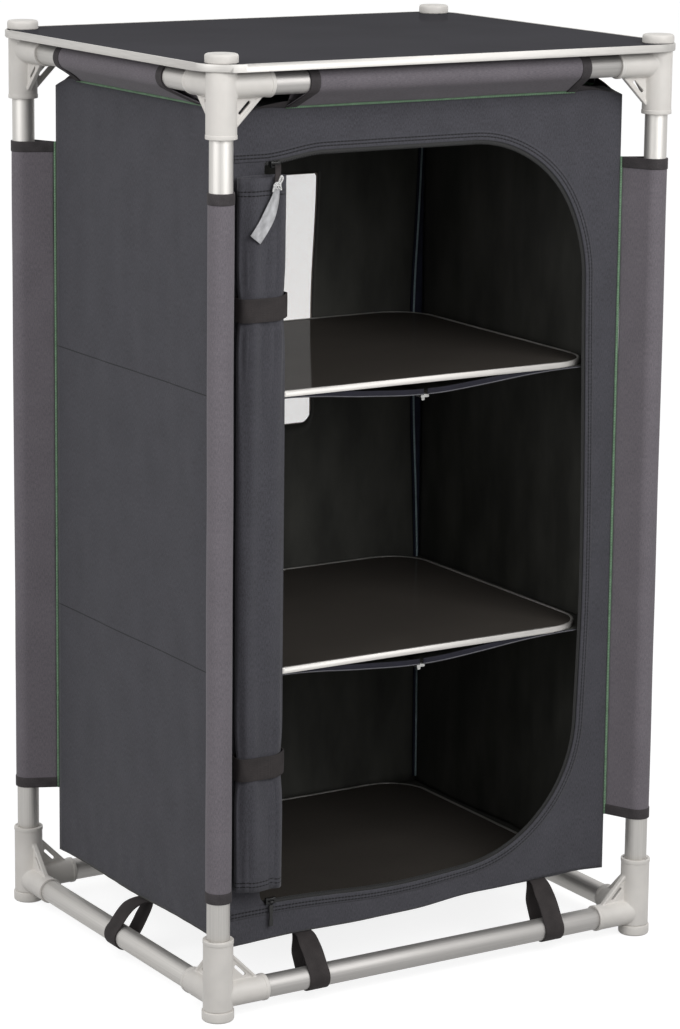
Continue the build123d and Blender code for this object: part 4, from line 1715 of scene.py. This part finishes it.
class CUPBOARD_OT_door_sliders(bpy.types.Operator):
    """The door zip's two sliders, the cord with its ribbon, and the small pull"""
    bl_idname = "cupboard.door_sliders"
    bl_label = "Door sliders and pulls"

    def execute(self, context):
        slider_low, slider_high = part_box("door_zip_sliders")
        x = (slider_low.x + slider_high.x) / 2
        y = -WALL_Y - 4 * MM
        levels = {"upper": slider_high.z - 4 * MM, "lower": slider_low.z + 4 * MM}
        for level, z in levels.items():
            body = slider_body(f"{level}_door_slider", x, y, z)
            dress(body, "cupboard", ["slider"], ["door_zip_sliders"])

        hook = Vector((x, low("top_door_pull").y + 1.4 * MM, levels["upper"])) / MM
        tab, knot, ribbon = pull_tab(hook, y), cord_knot(hook), pull_ribbon(hook)
        for piece, slot, name in (
            (tab, "pull_dark", "webbing"), (knot, "pull_ribbon", "knot"),
            (ribbon, "pull_ribbon", "ribbon"),
        ):
            dress(piece, "top_pull", [name], ["top_door_pull"])
        dress(small_pull(y), "bottom_pull", ["pull"], ["bottom_door_pull"])
        return {"FINISHED"}


def waist(z, width=26 * MM):
    """How far the straps draw the roll in at a height, from 0 to 1."""
    return sum(hump(z, level, width) for level in STRAP_LEVELS.values())


class CUPBOARD_OT_door_roll(bpy.types.Operator):
    """The door, rolled up flat and drawn in by its straps"""
    bl_idname = "cupboard.door_roll"
    bl_label = "Rolled door"

    def execute(self, context):
        roll_low, roll_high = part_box("door_roll")
        middle = centre("door_roll")
        foot = roll_low.z + 11 * MM
        height = roll_high.z - foot
        half_wide = (roll_high.x - roll_low.x) / 2 - 0.5 * MM
        half_deep = (roll_high.y - roll_low.y) / 2 - 0.5 * MM
        turns = sizes().roll_turns
        layer = 2.1 * MM
        start = radians(70)
        hem_gap = 2 * MM

        def spot(turn, z):
            """Point of the roll's section after that many turns from its outer end."""
            angle = 2 * pi * turn + start
            c, d = cos(angle), sin(angle)
            a = squared(c, 0.75) * (half_wide - layer * turn * 1.1)
            b = squared(d, 0.8) * (half_deep - layer * turn)
            tight = waist(z)
            loose = 1 - 0.09 * tight
            gathered = 0
            if d < 0:
                # the front is soft, and gathers in upright folds near the straps
                near = waist(z, 90 * MM) * (1 - 0.8 * tight)
                soft = 1.9 * ripple(2 * c + turn, 2 * d, 3.2 * z) * (1 - 0.6 * tight)
                folds = (0.6 + 2.0 * near) * cos(6 * c + 3 * ripple(2.5 * z, 4, turn))
                folds += 0.7 * near * cos(15 * c + 1)
                gathered = max(soft + folds, -2.2) * MM * ease(0, 0.5, -d)
            return middle.x + a * loose, middle.y + b * loose + gathered

        # the cloth's run round the roll, measured half way up
        columns = round(turns * 60)
        runs = [0]
        before = spot(0, 0.5)
        for step in range(1, columns + 1):
            here = spot(turns * step / columns, 0.5)
            runs.append(runs[-1] + hypot(here[0] - before[0], here[1] - before[1]))
            before = here

        def place(s, t):
            turn = s * turns
            uneven = (1.2 * sin(5 * turn) + 1.0 * turn) * MM
            z = foot + hem_gap + (height - 2 * hem_gap) * t + uneven * (1 - 2 * t) * 0.6
            x, y = spot(turn, z)
            return Vector((x, y, z)), (runs[round(s * columns)], t * height)

        roll = cloth_sheet("rolled_door", columns, 110, place)
        thicken(roll, 0.9 * MM)
        dress(roll, "cupboard", ["roll"], ["door_roll"])
        return {"FINISHED"}


class CUPBOARD_OT_roll_straps(bpy.types.Operator):
    """Webbing straps round the rolled door"""
    bl_idname = "cupboard.roll_straps"
    bl_label = "Roll straps"

    def execute(self, context):
        strap_low, strap_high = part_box("roll_straps")
        middle = centre("roll_straps")
        half_wide = (strap_high.x - strap_low.x) / 2 - 0.9 * MM
        half_deep = (strap_high.y - strap_low.y) / 2 - 0.9 * MM
        girth = 4 * (half_wide + half_deep) * 0.93
        for name, level in STRAP_LEVELS.items():
            def place(s, t):
                c, d = cos(2 * pi * s), sin(2 * pi * s)
                x = middle.x + squared(c, 0.55) * half_wide
                y = middle.y + squared(d, 0.55) * half_deep
                # the edges ride up at the right, where the webbing comes round
                z = level + (t - 0.5) * STRAP_WIDTH
                if d < 0.4:
                    z += (3.2 * ease(0.2, 1, c) - 1.5) * MM
                if d < 0:
                    y -= 0.5 * MM * sin(pi * t)
                return Vector((x, y, z)), (t * STRAP_WIDTH, s * girth)

            strap = strip(f"{name}_roll_strap", 96, 8, place, 1.4, soft=0.35, closed=True)
            dress(strap, "cupboard", ["webbing"], ["roll_straps"])
        return {"FINISHED"}


# Slings
SLING_LEVELS = ("upper", "middle")
CHAIN_HALF = 2.5 * MM
TEETH_STEP = 2 * MM


class CUPBOARD_OT_slings(bpy.types.Operator):
    """Cloth slings under the shelves, joined by zips from front to back"""
    bl_idname = "cupboard.slings"
    bl_label = "Shelf slings"

    def execute(self, context):
        for name in SLING_LEVELS:
            sling_low, sling_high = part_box(f"{name}_shelf_sling")
            sag = sling_high.z - sling_low.z - 1.2 * MM
            width = sling_high.x - CHAIN_HALF
            depth = sling_high.y - sling_low.y
            for side, hand in ((-1, "left"), (1, "right")):
                def place(s, t):
                    x = CHAIN_HALF + width * s
                    drop = sag * (1 - ease(0, 0.2, x)) ** 1.15
                    crease = 0.7 * MM * ripple(16 * x, 9 * t, side) * ease(0.9, 0.4, x / 0.24)
                    z = sling_high.z - 0.1 * MM - drop + min(crease * (1 - t) ** 2, 0)
                    point = Vector((side * x, sling_low.y + depth * t, z))
                    return point, (side * x + 0.25, depth * t)

                half = cloth_sheet(f"{name}_sling_{hand}", 48, 60, place)
                if side < 0:
                    half.data.flip_normals()
                thicken(half, 0.9 * MM)
                dress(half, "cupboard", ["lining"], [f"{name}_shelf_sling"])

                def edge(s, t):
                    """A tape that stands up along the front edge."""
                    point = place(t, 0)[0]
                    stand = min(5 * MM, max(sling_high.z - 0.4 * MM - point.z, 0.2 * MM))
                    point += Vector((0, -0.9 * MM, -MM + (stand + MM) * s))
                    return point, (t * width, s * 6 * MM)

                tape = strip(f"{name}_sling_binding_{hand}", 6, 48, edge, 1.0, turned=side > 0)
                dress(tape, "cupboard", ["sling_tape"])
                before = Vector((0, -1.5 * MM, -0.9 * MM))
                line = [place(step / 16, 0)[0] + before for step in range(17)]
                cord = cord_mesh(f"{name}_sling_edge_{hand}", line, 0.7 * MM)
                dress(cord, "cupboard", ["sling_edge"])
        return {"FINISHED"}


def sling_zip(name):
    """A closed zip from front to back: its tape, and its teeth under it."""
    sling_low, sling_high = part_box(f"{name}_shelf_sling")
    top = sling_low.z + 1.2 * MM
    chain = block(f"{name}_sling_chain", (-CHAIN_HALF, CHAIN_HALF), (sling_low.y, sling_high.y),
                  (top - 1.6 * MM, top))
    soften(chain, 0.4)
    tooth = block("tooth", (-1.6 * MM, 1.6 * MM), (-0.55 * MM, 0.55 * MM), (-0.8 * MM, 0.8 * MM))
    with editing(tooth, "SELECT"):
        round_picked(0.3, 1)
    places = [
        Matrix.Translation((0, sling_low.y + (step + 0.5) * TEETH_STEP, top - 2.4 * MM))
        for step in range(int((sling_high.y - sling_low.y) / TEETH_STEP))]
    teeth = row_of(f"{name}_sling_teeth", tooth, places)
    whole = joined(f"{name}_sling_zip", [chain, teeth])
    smooth(whole, 30)
    return whole


def sling_slider(name, node):
    """A zip slider with its tab, upside down under the zip."""
    start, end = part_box(node)
    y = (start.y + end.y) / 2
    floor = start.z + 9 * MM
    shell = block("shell", (start.x, end.x), (start.y, end.y), (floor, end.z))
    with editing(shell):
        pick(shell, "FACE", lambda f: f.normal.z > 0.9)
        bpy.ops.mesh.inset(thickness=1.9 * MM)
        bpy.ops.transform.resize(value=(1, 1.6, 1), center_override=(0, y, floor))
        bpy.ops.mesh.extrude_region_move(
            TRANSFORM_OT_translate={"value": (0, 0, floor + 1.4 * MM - end.z)})
    soften(shell, 0.3)
    tab = block("tab", (-2 * MM, 2 * MM), (y - 0.7 * MM, y + 0.7 * MM),
                (floor - 4 * MM, floor + 0.3 * MM))
    with editing(tab):
        pick(tab, "EDGE", lambda e: abs(along_edge(e).y) > MM)
        round_picked(1.4, 4)
    slider = joined(f"{name}_sling_slider", [shell, tab])
    smooth(slider)
    return slider


class CUPBOARD_OT_sling_zips(bpy.types.Operator):
    """The slings' zips and their sliders"""
    bl_idname = "cupboard.sling_zips"
    bl_label = "Sling zips"

    def execute(self, context):
        for name in SLING_LEVELS:
            dress(sling_zip(name), "cupboard", ["zip"], ["sling_zips"])
            node = f"{name}_sling_zip_slider"
            dress(sling_slider(name, node), f"{name}_zip_slider",
                  ["bright_slider"], [node])
        return {"FINISHED"}


# Stage
WHITE = (1, 1, 1, 1)
LAMPS_AIM = Vector((0, 0, 0.6))
KEY_PLACE = (0.35, -2.1, 1.8)
FILL_PLACE = (-2.4, -0.5, 1.8)
LAMP_SIZE = 1.6


def pale_floor():
    """A floor that the camera and mirrored rays see as white, and that takes soft shadows."""
    finish = Finish("pale_floor")
    camera, mirrored, _ = finish.rays()
    seen = camera + mirrored * 0.65
    grain = finish.grain(finish.place(), 8.0)
    tint = finish.blend(grain, (0.33, 0.33, 0.33, 1), (0.35, 0.35, 0.35, 1))
    matt = finish.node("ShaderNodeBsdfDiffuse", {}, {"Color": tint})[0]
    glow = finish.node("ShaderNodeEmission", {}, {"Color": WHITE, "Strength": 0.85})[0]
    nothing = finish.node("ShaderNodeEmission", {}, {"Strength": 0.0})[0]
    added = finish.node("ShaderNodeMixShader", {}, {"Fac": seen, 1: nothing, 2: glow})[0]
    whole = finish.node("ShaderNodeAddShader", {}, {0: matt, 1: added})[0]
    finish.node("ShaderNodeOutputMaterial", {}, {"Surface": whole})
    return finish.owner


def soft_world(ambient):
    """White where it is seen, mirrored or looked through to, and dimmer as light."""
    finish = Finish("studio", "worlds")
    camera, mirrored, through = finish.rays()
    seen = camera.larger(mirrored.larger(through))
    soft = finish.node("ShaderNodeBackground", {}, {"Color": WHITE, "Strength": ambient})[0]
    white = finish.node("ShaderNodeBackground", {}, {"Color": WHITE})[0]
    mixed = finish.node("ShaderNodeMixShader", {}, {"Fac": seen, 1: soft, 2: white})[0]
    finish.node("ShaderNodeOutputWorld", {}, {"Surface": mixed})
    return finish.owner


def camera_pose(studio):
    """Where the camera stands and looks, from its turn, tilt and roll."""
    turn, tilt, roll = studio.turn, studio.tilt, studio.roll
    ahead = Vector((sin(turn) * cos(tilt), cos(turn) * cos(tilt), -sin(tilt)))
    right = Vector((cos(turn), -sin(turn), 0))
    up = right.cross(ahead)
    right, up = right * cos(roll) + up * sin(roll), up * cos(roll) - right * sin(roll)
    pose = Matrix((right, up, -ahead)).transposed().to_4x4()
    pose.translation = studio.camera_place
    return pose


class CUPBOARD_OT_stage(bpy.types.Operator):
    """Pale floor, soft lamps and the camera"""
    bl_idname = "cupboard.stage"
    bl_label = "Stage"

    def execute(self, context):
        studio = context.scene.studio_settings
        bare()
        bpy.ops.mesh.primitive_plane_add(size=30)
        floor = named("floor")
        floor.data.materials.append(pale_floor())
        context.scene.world = soft_world(studio.ambient)

        for name, spot, power in (
            ("key_lamp", KEY_PLACE, studio.key), ("fill_lamp", FILL_PLACE, studio.fill),
        ):
            lamp = bpy.data.lights.new(name, "AREA")
            lamp.energy = power
            lamp.size = LAMP_SIZE
            holder = linked(name, lamp)
            holder.location = spot
            holder.rotation_euler = (LAMPS_AIM - Vector(spot)).to_track_quat("-Z", "Y").to_euler()
            holder.visible_camera = False

        lens = bpy.data.cameras.new("camera")
        lens.lens = studio.lens
        lens.shift_y = studio.shift
        lens.clip_end = 100
        camera = linked("camera", lens)
        camera.matrix_world = camera_pose(studio)
        context.scene.camera = camera
        context.scene.view_settings.view_transform = "Standard"
        return {"FINISHED"}


STEPS = (
    CUPBOARD_OT_stage, CUPBOARD_OT_tubes, CUPBOARD_OT_connectors, CUPBOARD_OT_feet_and_caps,
    CUPBOARD_OT_tabletop, CUPBOARD_OT_boards, CUPBOARD_OT_walls, CUPBOARD_OT_front_panel,
    CUPBOARD_OT_back_wall, CUPBOARD_OT_post_sleeves, CUPBOARD_OT_rail_sleeves,
    CUPBOARD_OT_piping, CUPBOARD_OT_ear_flaps, CUPBOARD_OT_corner_seams,
    CUPBOARD_OT_hold_down_loops, CUPBOARD_OT_door_zip, CUPBOARD_OT_door_sliders,
    CUPBOARD_OT_door_roll, CUPBOARD_OT_roll_straps, CUPBOARD_OT_slings, CUPBOARD_OT_sling_zips,
)


class CUPBOARD_PT_pieces(bpy.types.Panel):
    """The cupboard's pieces, in the order in which they are made"""
    bl_idname = "CUPBOARD_PT_pieces"
    bl_label = "Camping cupboard"
    bl_space_type = "VIEW_3D"
    bl_region_type = "UI"
    bl_category = "Cupboard"

    def draw(self, context):
        for step in STEPS:
            self.layout.operator(step.bl_idname)
        scene = context.scene
        for group in (scene.cupboard_sizes, scene.cupboard_colours, scene.studio_settings):
            for key in group.__annotations__:
                self.layout.prop(group, key)


CLASSES = (CupboardSizes, CupboardColours, StudioSettings, *STEPS, CUPBOARD_PT_pieces)


def register():
    for entry in CLASSES:
        bpy.utils.register_class(entry)
    bpy.types.Scene.cupboard_sizes = PointerProperty(type=CupboardSizes)
    bpy.types.Scene.cupboard_colours = PointerProperty(type=CupboardColours)
    bpy.types.Scene.studio_settings = PointerProperty(type=StudioSettings)


def unregister():
    del bpy.types.Scene.studio_settings
    del bpy.types.Scene.cupboard_colours
    del bpy.types.Scene.cupboard_sizes
    for entry in reversed(CLASSES):
        bpy.utils.unregister_class(entry)


def main():
    register()
    for step in STEPS:
        group, _, call = step.bl_idname.partition(".")
        getattr(getattr(bpy.ops, group), call)()


if __name__ == "__main__":
    main()
